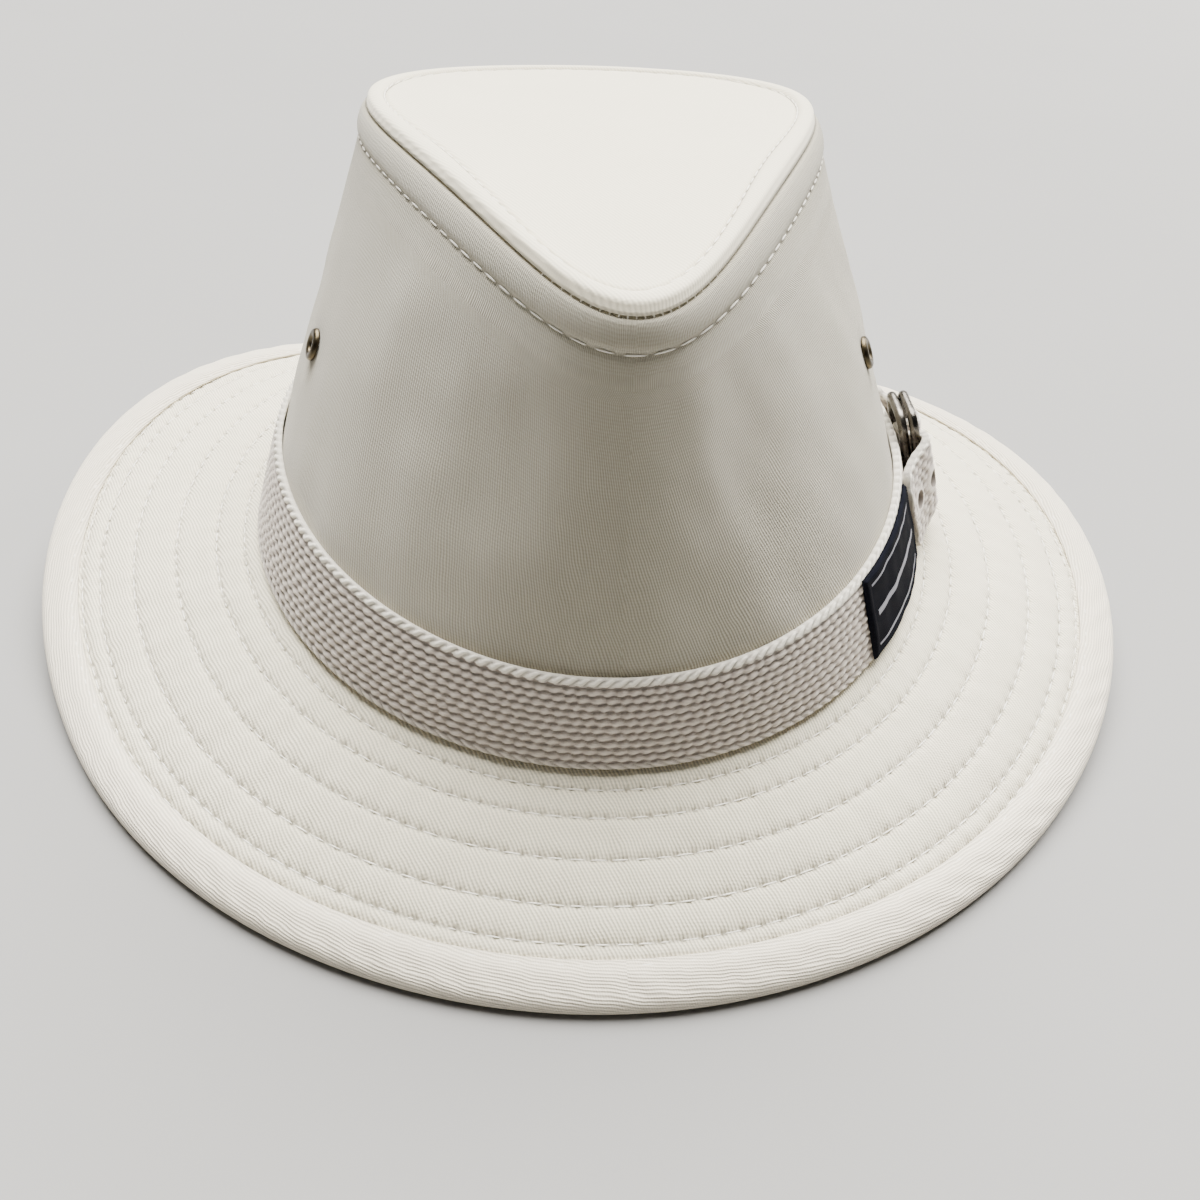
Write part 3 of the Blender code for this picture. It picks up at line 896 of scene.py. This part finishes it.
def tip_point(angle, share):
    """Points of the tip's outer face, at a share of the way from its middle to the seam."""
    seam = seam_point(angle)
    middle = CROWN_H - TIP_SINK * FRONT_DIP + TIP_DOME
    lid = BRIM_TOP_H + GAP + CLOTH_T
    height = middle + (seam[..., 2] - middle) * share ** 2 + lid
    return stack(seam[..., 0] * share, seam[..., 1] * share, height)


def make_crown_tip(sewing, skin):
    """The teardrop panel with its folded, stitched edge."""
    count = CROWN_COLUMNS
    angle = columns(count)[None, :]
    size = np.linalg.norm(seam_point(angle)[..., :2], axis=-1)
    near = np.concatenate([np.linspace(0.0, 0.002, 8), np.linspace(0.0027, TIP_ZONE, 26)])[:, None]
    far = np.linspace(0.0, 1.0, 26)[1:-1, None]
    inwards = np.concatenate([np.broadcast_to(near, (len(near), count)), TIP_ZONE + (size - 0.0118) * far])
    share = 1.0 - (inwards + TIP_SETBACK) / size
    flat = tip_point(angle, share)
    lift = puff(inwards, sewing.tip_edge, sewing.seam_puff * 0.9) - fold(inwards, FOLD_R)
    lift -= 0.0006 * hump(inwards - sewing.tip_edge, ROW_SPREAD)
    lift += TIP_WRINKLE * waves(flat[..., 0], flat[..., 1], 8, 0.05) * ramp(inwards, 0.02)
    outer = flat.copy()
    outer[..., 2] += lift
    under = tip_point(angle, 1.0 - np.linspace(TIP_SETBACK, 1.0, TIP_UNDER_ROWS)[:, None] * 0.97)
    under[..., 2] -= CLOTH_T
    points = np.concatenate([under[::-1], outer])
    spread = np.concatenate([np.zeros(TIP_UNDER_ROWS), inwards[:, 0]])
    # Painted shade in the creases along the tip's row of stitches
    crease_shade = 0.95 * hump(inwards - sewing.tip_edge, CREASE_SHADE_SPREAD)
    marks = {"pricks": np.concatenate([np.zeros((TIP_UNDER_ROWS, count)), crease_shade])}
    wide = around_uv(count, TIP_R)
    tip = grid_mesh("crown_tip_cloth", points, uv_grid(wide, spread), False, True, marks)
    rows = len(points)
    cap(tip, [list(range(count))[::-1], list(range((rows - 1) * count, rows * count))])
    return finish_piece(tip, skin, "crown_twill", "crown_tip")


def quilt(angle, share, sewing):
    """The brim's relief: sunk sewn rows with puckers and soft ridges between them, and the mark of painted
    shade along the rows' creases and in their needle holes.
    """
    reach = brim_reach(angle)[0]
    around = angle * (HEAD_HALF_L + BRIM_MIDDLE)
    total = np.zeros(np.broadcast(angle, share).shape)
    pricks = np.zeros_like(total)
    for i, row in enumerate(BRIM_ROWS):
        away = (share - row) * reach
        needle = 0.5 + 0.5 * np.cos(2 * math.pi * around / sewing.stitch_pitch + 1.7 * i)
        total -= sewing.quilt_depth * np.exp(-np.abs(away / 0.0011) ** 1.2) * (0.75 + 0.25 * needle)
        hole = needle ** 8 * hump(away, 0.0006)
        total -= 0.5 * sewing.quilt_depth * hole
        # Painted shade in each needle hole and along each row's sunk line
        pricks = np.maximum(pricks, np.maximum(hole, 0.55 * hump(away, CREASE_SHADE_SPREAD)))
    total += BRIM_WRINKLE * waves(around, share * reach, 12, 0.018)
    return total, pricks


def make_brim(sewing, skin):
    """The quilted brim."""
    count = BRIM_COLUMNS
    angle = columns(count)[None, :]
    reach = brim_reach(angle)[0]
    places = [0.0, 0.09, 0.12, 0.335, 0.475, 0.53, 0.66, 0.70, 0.74, 0.87, 1.0]
    for row in BRIM_ROWS:
        places += [row + step for step in (-0.036, -0.018, -0.008, 0.0, 0.008, 0.018, 0.036)]
    shares = np.array(sorted(places))
    shares = shares[np.concatenate([[True], np.diff(shares) > 0.004])][:, None]
    limit = reach - ROLL_R - GAP
    point, up = brim_frame(angle, np.minimum(reach * (1 - shares), limit))
    relief, pricks = quilt(angle, shares, sewing)
    top = point + up * (BRIM_T / 2 + relief)[..., None]
    tuck = np.array([-0.001, -BRIM_TUCK])[:, None]
    tuck_point, tuck_up = brim_frame(angle, np.broadcast_to(tuck, (2, count)))
    low_share = np.linspace(0.0, 1.0, BRIM_UNDER_ROWS)[:, None]
    low, low_up = brim_frame(angle, low_share * (limit + BRIM_TUCK) - BRIM_TUCK)
    rows = 0.5 - 0.5 * np.cos(2 * math.pi * low_share * len(BRIM_ROWS))
    under = low - low_up * (BRIM_T / 2 - 0.00025 * (1 - rows))[..., None]
    points = np.concatenate([top, tuck_point + tuck_up * BRIM_T / 2, under])
    wide = around_uv(count, HEAD_HALF_L)
    under_rise = np.linspace(0.06, 0.12, BRIM_UNDER_ROWS + 1)
    rise = np.concatenate([shares[:, 0] * BRIM_W, [0.058, 0.06], under_rise])
    # The painted shade of the rows' creases and needle holes, on the top face only
    marks = {"pricks": np.concatenate([pricks, np.zeros((len(points) - len(pricks), count))])}
    brim = grid_mesh("brim_quilted", points, uv_grid(wide, rise), True, True, marks)
    return finish_piece(brim, skin, "brim_twill", "brim")


def binding_axes(angle):
    """The binding's edge points with their outward and upward directions."""
    reach = brim_reach(angle)[0]
    edge = brim_point(angle, reach)
    out = unit(edge - brim_point(angle, reach - BINDING_W))
    side = unit(stack(-out[..., 1], out[..., 0], 0.0))
    return edge, out, np.cross(out, side)


def binding_profile():
    """The binding's outline: distance in from the edge, height over the brim's middle, and run of cloth."""
    flat = np.linspace(BINDING_W, ROLL_R, 14)
    turn = np.linspace(0.0, math.pi, 26)
    inwards = np.concatenate([flat, ROLL_R * (1 - np.sin(turn[1:-1])), flat[::-1]])
    above = np.concatenate([np.full(14, ROLL_R), ROLL_R * np.cos(turn[1:-1]), np.full(14, -ROLL_R)])
    run = np.concatenate([[0.0], np.cumsum(np.hypot(np.diff(inwards), np.diff(above)))])
    return inwards, above, run


def make_binding(skin):
    """The puffed bias roll round the brim's edge."""
    count = BINDING_COLUMNS
    angle = columns(count)[None, :]
    edge, out, up = binding_axes(angle)
    inwards, above, run = binding_profile()
    inwards, above = inwards[:, None], above[:, None]
    around = angle * EDGE_R
    top = above > 0
    soft = ramp(BINDING_W - inwards, 0.004)
    swell = 0.0005 * soft * ramp(inwards, 0.004)
    hem = -0.0013 * hump(BINDING_W - inwards, 0.0017)
    pucker = 0.00016 * np.sin(2 * math.pi * around / 0.011 + 900 * inwards) * soft * ramp(inwards, 0.002)
    pucker = pucker * (0.5 + 0.5 * waves(around, inwards, 21, 0.05))
    height = above + np.where(top, swell + hem + pucker, 0.0)
    outer = edge + up * height[..., None] - out * inwards[..., None]
    hide = (ROLL_R - BINDING_T) / ROLL_R
    inner_in = np.clip(inwards, BINDING_T, BINDING_W)
    inner_high = np.where(top, np.minimum(above * hide, height - 0.0005), above * hide)
    inner = edge + up * inner_high[..., None] - out * inner_in[..., None]
    points = np.concatenate([outer, inner[::-1]])
    points[..., 2] = np.maximum(points[..., 2], 0.0)
    wide = around_uv(count, EDGE_R)
    rise = np.concatenate([run, run[::-1] + 0.05, [run[0]]])
    binding = grid_mesh("binding_roll", points[::-1], uv_grid(wide, rise[::-1]), True, True)
    return finish_piece(binding, skin, "binding_twill", "brim_binding")


def selvedge_twist(u, side, trim):
    """The twist of the selvedge's cord from 0 to 1, at a distance along and a place from -1 to 1 across."""
    return np.abs(np.cos(math.pi * (u / (trim.loop_pitch * TWIST_PITCH) + TWIST_SLANT * side)))


def webbing_relief(u, v, trim):
    """The webbing's relief from 0 to 1 and its share of selvedge, at distances along and across it."""
    edge = 0.5 * BAND_H / trim.ridges
    inner = (v - edge) / (BAND_H - 2 * edge) * (trim.ridges - 1)
    drift = 0.22 * waves(u, v, 31, 0.012, 1)
    row = np.round(inner)
    phase = u / trim.loop_pitch + 0.5 * (row % 2) + drift + 0.14 * np.sin(row * 2.4)
    lens = np.abs(np.cos(math.pi * phase))
    off = inner - row - 0.07 * np.sin(2 * math.pi * phase)
    strand = np.clip(1 - (off / (0.27 + 0.18 * lens)) ** 2, 0.0, 1.0) ** 0.6
    body = strand * (0.45 + 0.55 * lens)
    rim = np.minimum(v, BAND_H - v)
    side = 2 * rim / (1.7 * edge) - 1
    braid = np.clip(1.1 - side ** 2 * 0.8, 0, 1) * (0.04 + 0.96 * selvedge_twist(u, side, trim))
    selvedge = ramp(1.7 * edge - rim, 0.35 * edge)
    high = body * (1 - selvedge) + selvedge * braid
    return high, selvedge * np.where(v > BAND_H / 2, 1.0, 0.25)


def make_band(trim, skin):
    """The webbing band round the crown's foot, every stitch of it in relief."""
    count = BAND_COLUMNS
    angle = columns(count)[None, :]
    v = np.linspace(0.0, BAND_H, BAND_ROWS)[:, None]
    loops = round(2 * math.pi * HEAD_HALF_L / trim.loop_pitch)
    u = angle / (2 * math.pi) * loops * trim.loop_pitch
    high, selvedge = webbing_relief(u, v, trim)
    slack = 0.0004 * waves(np.sin(angle), np.cos(angle), 41, 0.9, 2)
    lift = GAP + WEBBING_T - 0.0004 + high * trim.relief + slack * ramp(v, BAND_H)
    scallop = SCALLOP * selvedge_twist(u, -1.0, trim) * ramp(v - BAND_H + 0.002, 0.002)
    front = over_wall(angle, GAP + v + scallop, lift)
    back = over_wall(angle, GAP + np.array([BAND_H, 0.0])[:, None], GAP)
    points = np.concatenate([front, np.broadcast_to(back, (2, count, 3))])
    wide = around_uv(count, HEAD_HALF_L)
    rise = np.concatenate([v[:, 0], [BAND_H + 0.001, BAND_H + 0.02, BAND_H + 0.021]])
    marks = {
        "high": np.concatenate([high, np.full((2, count), 0.5)]),
        "selvedge": np.concatenate([np.broadcast_to(selvedge, high.shape), np.ones((2, count))]),
    }
    band = grid_mesh("band_webbing", points, uv_grid(wide, rise), True, True, marks)
    return finish_piece(band, skin, "webbing", "hat_band")


def band_lift():
    """How far the band's outer face stands off the crown."""
    return GAP + WEBBING_T


def ring_lift(place):
    """How far a ring's wire stands off the crown: place 0 is the inner ring, 1 the outer."""
    return band_lift() + GAP + RING_WIRE / 2 + place * (RING_WIRE + GAP)


def ring_height():
    """The height of the rings' middle above the brim."""
    return 2 * GAP + RING_H / 2


def smooth_rows(table, steps):
    """Points along a table's rows, rounded between them."""
    table = np.array(table)
    last = len(table) - 1
    made = []
    for i in range(last):
        a, b, c, d = (table[max(0, min(last, k))] for k in (i - 1, i, i + 1, i + 2))
        for step in range(steps):
            t = step / steps
            bend = 2 * b + (c - a) * t + (2 * a - 5 * b + 4 * c - d) * t ** 2
            made.append(0.5 * (bend + (3 * b - a - 3 * c + d) * t ** 3))
    made.append(table[last])
    return np.array(made)


def route_places(rows, run, way):
    """The angles, middle heights, lifts and width shares along a webbing's route."""
    bar, length, rise, sink, width = rows.T
    along = way * ((RING_W - RING_WIRE) / 2 * bar + run * length)
    low = band_lift() + GAP + WEBBING_T / 2
    falls_away = (RING_W / 2) ** 2 / (2 * HEAD_HALF_W)
    high = ring_lift(1) + RING_WIRE / 2 + GAP + falls_away + WEBBING_T / 2
    height = ring_height() + sink * (BAND_H / 2 + 2 * GAP - ring_height())
    return STRAP_ANGLE + along / HEAD_HALF_L, height, low + rise * (high - low), width


def hole_angles():
    """The angles at which the strap's holes stand."""
    return [STRAP_ANGLE - (RING_W / 2 + FIRST_HOLE + i * HOLE_PITCH) / HEAD_HALF_L for i in range(HOLES)]


def make_webbing(name, table, run, way, trim, holes=()):
    """A length of webbing that follows a route out of the rings, with relief on both faces."""
    rows = smooth_rows(table, 14)
    angle, height, lift, width = (column[:, None] for column in route_places(rows, run, way))
    across = np.linspace(-1.0, 1.0, STRAP_COLUMNS)[None, :]
    lift = np.broadcast_to(lift, (len(rows), STRAP_COLUMNS))
    middle = over_wall(angle, height + across * width * BAND_H / 2, lift)
    out = unit(np.cross(np.gradient(middle, axis=0), np.gradient(middle, axis=1))) * way
    steps = np.linalg.norm(np.diff(middle[:, STRAP_COLUMNS // 2], axis=0), axis=1)
    run_u = np.concatenate([[0.0], np.cumsum(steps)])[:, None]
    v = (across + 1) * BAND_H / 2 * np.ones_like(run_u)
    high, selvedge = webbing_relief(run_u, v, trim)
    for hole in holes:
        place, _, _, upright = wall_frame(hole, HOLE_HEIGHT)
        gone = middle - place
        flat = gone - (gone @ upright)[..., None] * upright
        away = np.linalg.norm(flat, axis=-1)
        high = 0.9 + (high - 0.9) * ramp(away - HOLE_D * 0.66, HOLE_D * 0.2)
    front = middle + out * (WEBBING_T / 2 - STRAP_SUNK + high * trim.relief * 0.8)[..., None]
    back = middle - out * (WEBBING_T / 2 - STRAP_SUNK + high * trim.relief * 0.5)[..., None]
    loop = np.concatenate([front, back[:, ::-1]], axis=1)
    marks = {
        "high": np.concatenate([high, high[:, ::-1]], axis=1),
        "selvedge": np.concatenate([selvedge, selvedge[:, ::-1]], axis=1),
    }
    v_row = np.concatenate([v[0], v[0, ::-1] + 2 * BAND_H, [0.0]])
    uvs = uv_grid(run_u[:, 0], v_row, swap=True)
    flip = slice(None, None, way)
    marks = {key: value[flip] for key, value in marks.items()}
    made = grid_mesh(name, loop[flip], uvs[flip], False, True, marks)
    size = loop.shape[1]
    total = len(loop) * size
    cap(made, [list(range(size))[::-1], list(range(total - size, total))])
    recalculate(made)
    return made


def recalculate(item):
    """Point a closed piece's faces outwards."""
    work = bmesh.new()
    work.from_mesh(item.data)
    bmesh.ops.recalc_face_normals(work, faces=work.faces)
    work.to_mesh(item.data)
    work.free()


def make_ring(name, place, skin):
    """A closed wire ring with round corners."""
    half_w = (RING_W - RING_WIRE) / 2 - RING_CORNER_R
    half_h = (RING_H - RING_WIRE) / 2 - RING_CORNER_R
    matrix = frame_matrix(STRAP_ANGLE, ring_height(), ring_lift(place))
    matrix = matrix @ Matrix.Translation((-place * RING_STAGGER, 0.0, 0.0))
    line = []
    for corner, (sx, sy) in enumerate(((1, 1), (-1, 1), (-1, -1), (1, -1))):
        for i in range(CORNER_STEPS + 1):
            turn = math.pi / 2 * (corner + i / CORNER_STEPS)
            x, y = RING_CORNER_R * math.cos(turn), RING_CORNER_R * math.sin(turn)
            line.append((sx * half_w + x, sy * half_h + y))
    line = np.array(line)
    pieces = []
    for a, b in zip(line, np.roll(line, -1, axis=0)):
        steps = max(1, int(np.linalg.norm(b - a) / WIRE_STEP))
        pieces.append(a + (b - a) * (np.arange(steps) / steps)[:, None])
    line = np.concatenate(pieces)
    way = np.roll(line, -1, axis=0) - np.roll(line, 1, axis=0)
    side = unit(np.stack([way[:, 1], -way[:, 0]], axis=1))
    turn = columns(WIRE_COLUMNS)
    radius = RING_WIRE / 2 * (1 + 0.02 * np.sin(np.arange(len(line)) * 0.35))[:, None]
    flat = line[:, None, :] + side[:, None, :] * (radius * np.cos(turn))[..., None]
    high = radius * np.sin(turn)
    local = np.concatenate([flat, high[..., None]], axis=-1)
    uvs = uv_grid(np.arange(len(line) + 1) * WIRE_STEP, around_uv(WIRE_COLUMNS, RING_WIRE / 2), swap=True)
    ring = grid_mesh(name + "_wire", placed(local, matrix), uvs, True, True)
    recalculate(ring)
    return finish_piece(ring, skin, "ring_metal", name)


def label_ends():
    """The angles between which the label lies."""
    rows = np.array([TAIL_ROUTE[-1]])
    end = route_places(rows, TAIL_L, -1)[0][0] - LABEL_SETBACK / HEAD_HALF_L
    return end - LABEL_L / HEAD_HALF_L, end


def make_label(skin):
    """The woven label with its turned-under edges."""
    start, end = label_ends()
    count = LABEL_COLUMNS
    along = np.linspace(0.0, 1.0, count)[None, :]
    up = np.linspace(0.0, 1.0, LABEL_ROWS)[:, None]
    angle = start + (end - start) * along
    bottom, height = GAP + LABEL_MARGIN, BAND_H - 2 * LABEL_MARGIN
    rim_u = np.minimum(along, 1 - along) * LABEL_L
    rim_v = np.minimum(up, 1 - up) * height
    rim = np.minimum(rim_u, rim_v)
    hem = 0.0003 * np.clip(1 - np.abs(rim - 0.0012) / 0.0014, 0.0, 1.0)
    round_off = 0.0005 * np.clip(1 - rim / 0.0006, 0.0, 1.0) ** 2
    rib = 0.00006 * np.sin(2 * math.pi * up * height / 0.0008)
    wave = 0.00022 * waves(along * LABEL_L, up * height, 51, 0.012, 2)
    lift = band_lift() + GAP + LABEL_T - 0.0001 + hem - round_off + rib + wave
    front = over_wall(angle, bottom + up * height, lift)
    back = over_wall(angle, bottom + np.array([1.0, 0.0])[:, None] * height, band_lift() + GAP)
    points = np.concatenate([front, np.broadcast_to(back, (2, count, 3))])
    rise = np.concatenate([up[:, 0] * height + LABEL_MARGIN, [0.03, 0.05, 0.051]])
    uvs = uv_grid(along[0] * LABEL_L, rise)
    label = grid_mesh("label_woven", points, uvs, True, False)
    rows = len(points)
    cap(label, [[r * count for r in range(rows)], [r * count + count - 1 for r in range(rows)][::-1]])
    recalculate(label)
    return finish_piece(label, skin, "label_cloth", "band_label")


def make_eyelet(name, angle, height, skin):
    """A vent eyelet: a rolled rim outside, a barrel, and a flat rim inside."""
    outer, bore, barrel = EYELET_D / 2, EYELET_BORE / 2, EYELET_BARREL_D / 2
    face, back = GAP, -CLOTH_T - GAP
    middle = (outer + bore) / 2
    half = (outer - bore) / 2
    turn = np.linspace(0.0, math.pi, 15)
    rim = np.stack([middle - half * np.cos(turn), face + 0.0002 + 0.0011 * np.sin(turn) ** 0.8], axis=1)
    rest = np.array([
        (outer, face), (barrel, face), (barrel, back), (outer * 0.9, back), (outer * 0.9, back - 0.0004),
        (bore + 0.0002, back - 0.0005), (bore, back - 0.0002),
    ])
    profile = np.concatenate([rim, rest])
    spin = columns(EYELET_COLUMNS)
    x = profile[:, 0:1] * np.cos(spin)
    y = profile[:, 0:1] * np.sin(spin)
    local = stack(x, y, profile[:, 1:2])
    matrix = frame_matrix(angle, height, 0.0)
    uvs = uv_grid(around_uv(EYELET_COLUMNS, outer), np.arange(len(profile) + 1) * 0.0006)
    eyelet = grid_mesh(name + "_brass", placed(local, matrix), uvs, True, True)
    recalculate(eyelet)
    return finish_piece(eyelet, skin, "eyelet_brass", name)


class HAT_OT_stage(bpy.types.Operator):
    """Make the floor, the lights and the camera"""

    bl_idname = "hat.stage"
    bl_label = "Stage"

    def execute(self, context):
        stage = context.scene.hat_stage
        bpy.ops.mesh.primitive_plane_add(size=FLOOR_SIZE, location=(0.0, 0.0, 0.0))
        floor = context.active_object
        floor.name = "floor"
        floor.data.materials.append(floor_material(stage.floor))
        world = bpy.data.worlds.new("soft room")
        context.scene.world = world
        world.use_nodes = True
        tree = world.node_tree
        spot = add_node(tree, "ShaderNodeTexCoord").outputs["Generated"]
        height = add_node(tree, "ShaderNodeSeparateXYZ", i0=spot).outputs["Z"]
        fade = add_node(
            tree, "ShaderNodeMapRange", {"interpolation_type": "SMOOTHSTEP"},
            Value=height, From_Max=HORIZON_FADE, To_Min=stage.horizon, To_Max=stage.sky,
        )
        air = tree.nodes["Background"]
        put_value(tree, SKY_COLOUR, air.inputs["Color"])
        put_value(tree, fade.outputs[0], air.inputs["Strength"])
        key = bpy.data.lights.new("key", "SUN")
        key.angle = SUN_ANGLE
        key.energy = stage.key
        sides = []
        for name, power in (("left", stage.side), ("right", stage.side * RIGHT_SHARE)):
            side = bpy.data.lights.new(name, "AREA")
            side.shape = "DISK"
            side.size = LAMP_SIZE
            side.energy = power
            sides.append(side)
        for lamp, place in zip([key] + sides, LAMP_PLACES):
            lamp.color = LAMP_COLOUR
            item = new_object(lamp.name, lamp)
            item.location = place
            item.rotation_euler = (LAMP_AIM - Vector(place)).to_track_quat("-Z", "Y").to_euler()
        lens = bpy.data.cameras.new("camera")
        lens.lens = CAMERA_LENS
        lens.sensor_width = CAMERA_SENSOR
        lens.sensor_height = CAMERA_SENSOR
        lens.clip_start = 0.01
        matrix = Matrix.Translation(CAMERA_PLACE)
        for degrees, axis in ((-CAMERA_YAW, "Z"), (90.0 - CAMERA_PITCH, "X"), (CAMERA_ROLL, "Z")):
            matrix = matrix @ Matrix.Rotation(math.radians(degrees), 4, axis)
        camera = new_object("camera", lens)
        camera.matrix_world = matrix
        context.scene.camera = camera
        return {"FINISHED"}


class HAT_OT_crown(bpy.types.Operator):
    """Make the crown's wall and tip"""

    bl_idname = "hat.crown"
    bl_label = "Crown"

    def execute(self, context):
        scene = context.scene
        cloth = scene.hat_cloth
        # The wall's twill is the tip's twill painted darker with shade
        painted_shade_wall_colour = shade(cloth.twill, WALL_PAINTED_SHADE)
        pitch = cloth.twill_pitch
        side = twill_cloth("crown twill painted shade", painted_shade_wall_colour, pitch * 1.1, -24, strength=0.65, depth=0.85)
        tip = twill_cloth("tip twill", cloth.twill, pitch, -30, strength=0.25, depth=0.34, flat=True)
        make_crown_side(scene.hat_sewing, side)
        make_crown_tip(scene.hat_sewing, tip)
        return {"FINISHED"}


class HAT_OT_brim(bpy.types.Operator):
    """Make the quilted brim and its binding"""

    bl_idname = "hat.brim"
    bl_label = "Brim"

    def execute(self, context):
        scene = context.scene
        cloth = scene.hat_cloth
        pitch = cloth.twill_pitch
        brim = twill_cloth("brim twill", cloth.twill, pitch, -26, strength=0.75, depth=0.75, flat=True)
        roll = twill_cloth("binding twill", cloth.binding, pitch * 0.88, 85, strength=0.75, depth=0.72)
        make_brim(scene.hat_sewing, brim)
        make_binding(roll)
        return {"FINISHED"}


class HAT_OT_band(bpy.types.Operator):
    """Make the webbing band, the strap's tail and the buckle's tab"""

    bl_idname = "hat.band"
    bl_label = "Band and strap"

    def execute(self, context):
        trim = context.scene.hat_trim
        skin = webbing_cloth("webbing", trim)
        make_band(trim, skin)
        tail = make_webbing("tail_webbing", TAIL_ROUTE, TAIL_L, -1, trim, hole_angles())
        for angle in hole_angles():
            matrix = frame_matrix(angle, HOLE_HEIGHT, 4 * WEBBING_T)
            cut(tail, pin("punch", HOLE_D, 8 * WEBBING_T, matrix))
        finish_piece(tail, skin, "webbing", "strap_tail")
        tab = make_webbing("tab_webbing", TAB_ROUTE, TAB_L, 1, trim)
        finish_piece(tab, skin, "webbing", "buckle_tab")
        return {"FINISHED"}


class HAT_OT_buckle(bpy.types.Operator):
    """Make the buckle's two wire rings"""

    bl_idname = "hat.buckle"
    bl_label = "Buckle rings"

    def execute(self, context):
        skin = metal_material("ring metal", context.scene.hat_trim.metal, 0.22, 1.25)
        make_ring("buckle_ring_inner", 0, skin)
        make_ring("buckle_ring_outer", 1, skin)
        return {"FINISHED"}


class HAT_OT_label(bpy.types.Operator):
    """Make the plain woven label"""

    bl_idname = "hat.label"
    bl_label = "Label"

    def execute(self, context):
        make_label(label_cloth("label cloth", context.scene.hat_trim))
        return {"FINISHED"}


class HAT_OT_eyelets(bpy.types.Operator):
    """Make the vent eyelets"""

    bl_idname = "hat.eyelets"
    bl_label = "Eyelets"

    def execute(self, context):
        skin = metal_material("aged brass", context.scene.hat_trim.brass, 0.32, 1.7)
        for name, angle, height in EYELET_PLACES:
            make_eyelet(name, angle, height, skin)
        return {"FINISHED"}


class HAT_OT_stitches(bpy.types.Operator):
    """Sew the rows on the brim, along the binding and round the crown's seam"""

    bl_idname = "hat.stitches"
    bl_label = "Stitches"

    def execute(self, context):
        scene = context.scene
        sewing = scene.hat_sewing
        skin = thread_material("sewing thread", scene.hat_cloth.thread)
        pitch, thread = sewing.stitch_pitch, sewing.thread
        angle = columns(900)
        reach = brim_reach(angle)[0]
        rows = []
        for row in BRIM_ROWS:
            point, up = brim_frame(angle, reach * (1 - row))
            sunk = BRIM_T / 2 - sewing.quilt_depth * 0.85
            rows.append((point + up * sunk, up, True))
        sew("brim_stitches", rows, "brim_twill", skin, pitch, pitch * 0.86, thread, 0.0)
        edge, out, up = binding_axes(angle)
        hem = edge - out * (BINDING_W - 0.0013) + up * (ROLL_R - 0.00078)
        sew("binding_stitches", [(hem, up, True)], "binding_twill", skin, pitch, pitch * 0.84, thread, 0.0)
        top = seam_point(angle)[:, 2]
        point, _, _, outwards = wall_frame(angle, top - sewing.seam_edge)
        wall = (point - outwards * 0.00015, outwards, True)
        sew("crown_stitches", [wall], "crown_twill", skin, pitch * 1.2, pitch * 0.98, thread * 1.15, 0.00015)
        ticks = []
        for at in np.radians(np.arange(-34.0, 35.0, TICK_STEP)):
            point, _, up, out = wall_frame(at, seam_point(at)[..., 2])
            middle = point - out * 0.0009 + np.array((0.0, 0.0, 0.0004))
            low = middle - up * 0.0006 + out * 0.0005
            high = middle + up * 0.0006 - out * 0.0002
            ticks.append((np.stack([low, middle, high]), np.tile(out, (3, 1)), False))
        sew("seam_ticks", ticks, "crown_twill", skin, 0.0007, 0.0011, thread * 0.8, 0.0)
        size = np.linalg.norm(seam_point(angle)[:, :2], axis=-1)
        row = tip_point(angle, 1 - (sewing.tip_edge + TIP_SETBACK) / size)
        lifted = row + np.array((0.0, 0.0, -0.0002))
        upward = np.tile((0.0, 0.0, 1.0), (len(angle), 1))
        sew("tip_stitches", [(lifted, upward, True)], "crown_twill", skin, pitch, pitch * 0.86, thread, 0.0)
        return {"FINISHED"}


class HAT_PT_panel(bpy.types.Panel):
    """The hat's pieces in the sidebar"""

    bl_idname = "HAT_PT_panel"
    bl_label = "Safari hat"
    bl_space_type = "VIEW_3D"
    bl_region_type = "UI"
    bl_category = "Hat"

    def draw(self, context):
        for made in STEPS:
            self.layout.operator(made.bl_idname)
        for name in GROUPS:
            group = getattr(context.scene, name)
            box = self.layout.box()
            for key in group.bl_rna.properties.keys():
                if key not in {"rna_type", "name"}:
                    box.prop(group, key)


GROUPS = {
    "hat_sewing": HatSewing,
    "hat_cloth": HatCloth,
    "hat_trim": HatTrim,
    "hat_stage": HatStage,
}
STEPS = (
    HAT_OT_stage,
    HAT_OT_crown,
    HAT_OT_brim,
    HAT_OT_band,
    HAT_OT_buckle,
    HAT_OT_label,
    HAT_OT_eyelets,
    HAT_OT_stitches,
)


def register():
    """Register the hat's classes and its settings on the scene."""
    for made in (*GROUPS.values(), *STEPS, HAT_PT_panel):
        bpy.utils.register_class(made)
    for name, group in GROUPS.items():
        setattr(bpy.types.Scene, name, PointerProperty(type=group))


def unregister():
    """Remove the settings and classes again."""
    for name in GROUPS:
        delattr(bpy.types.Scene, name)
    for made in reversed((*GROUPS.values(), *STEPS, HAT_PT_panel)):
        bpy.utils.unregister_class(made)


def main():
    """Build the hat."""
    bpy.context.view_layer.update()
    register()
    bpy.ops.hat.stage()
    bpy.ops.hat.crown()
    bpy.ops.hat.brim()
    bpy.ops.hat.band()
    bpy.ops.hat.buckle()
    bpy.ops.hat.label()
    bpy.ops.hat.eyelets()
    bpy.ops.hat.stitches()


if __name__ == "__main__":
    main()
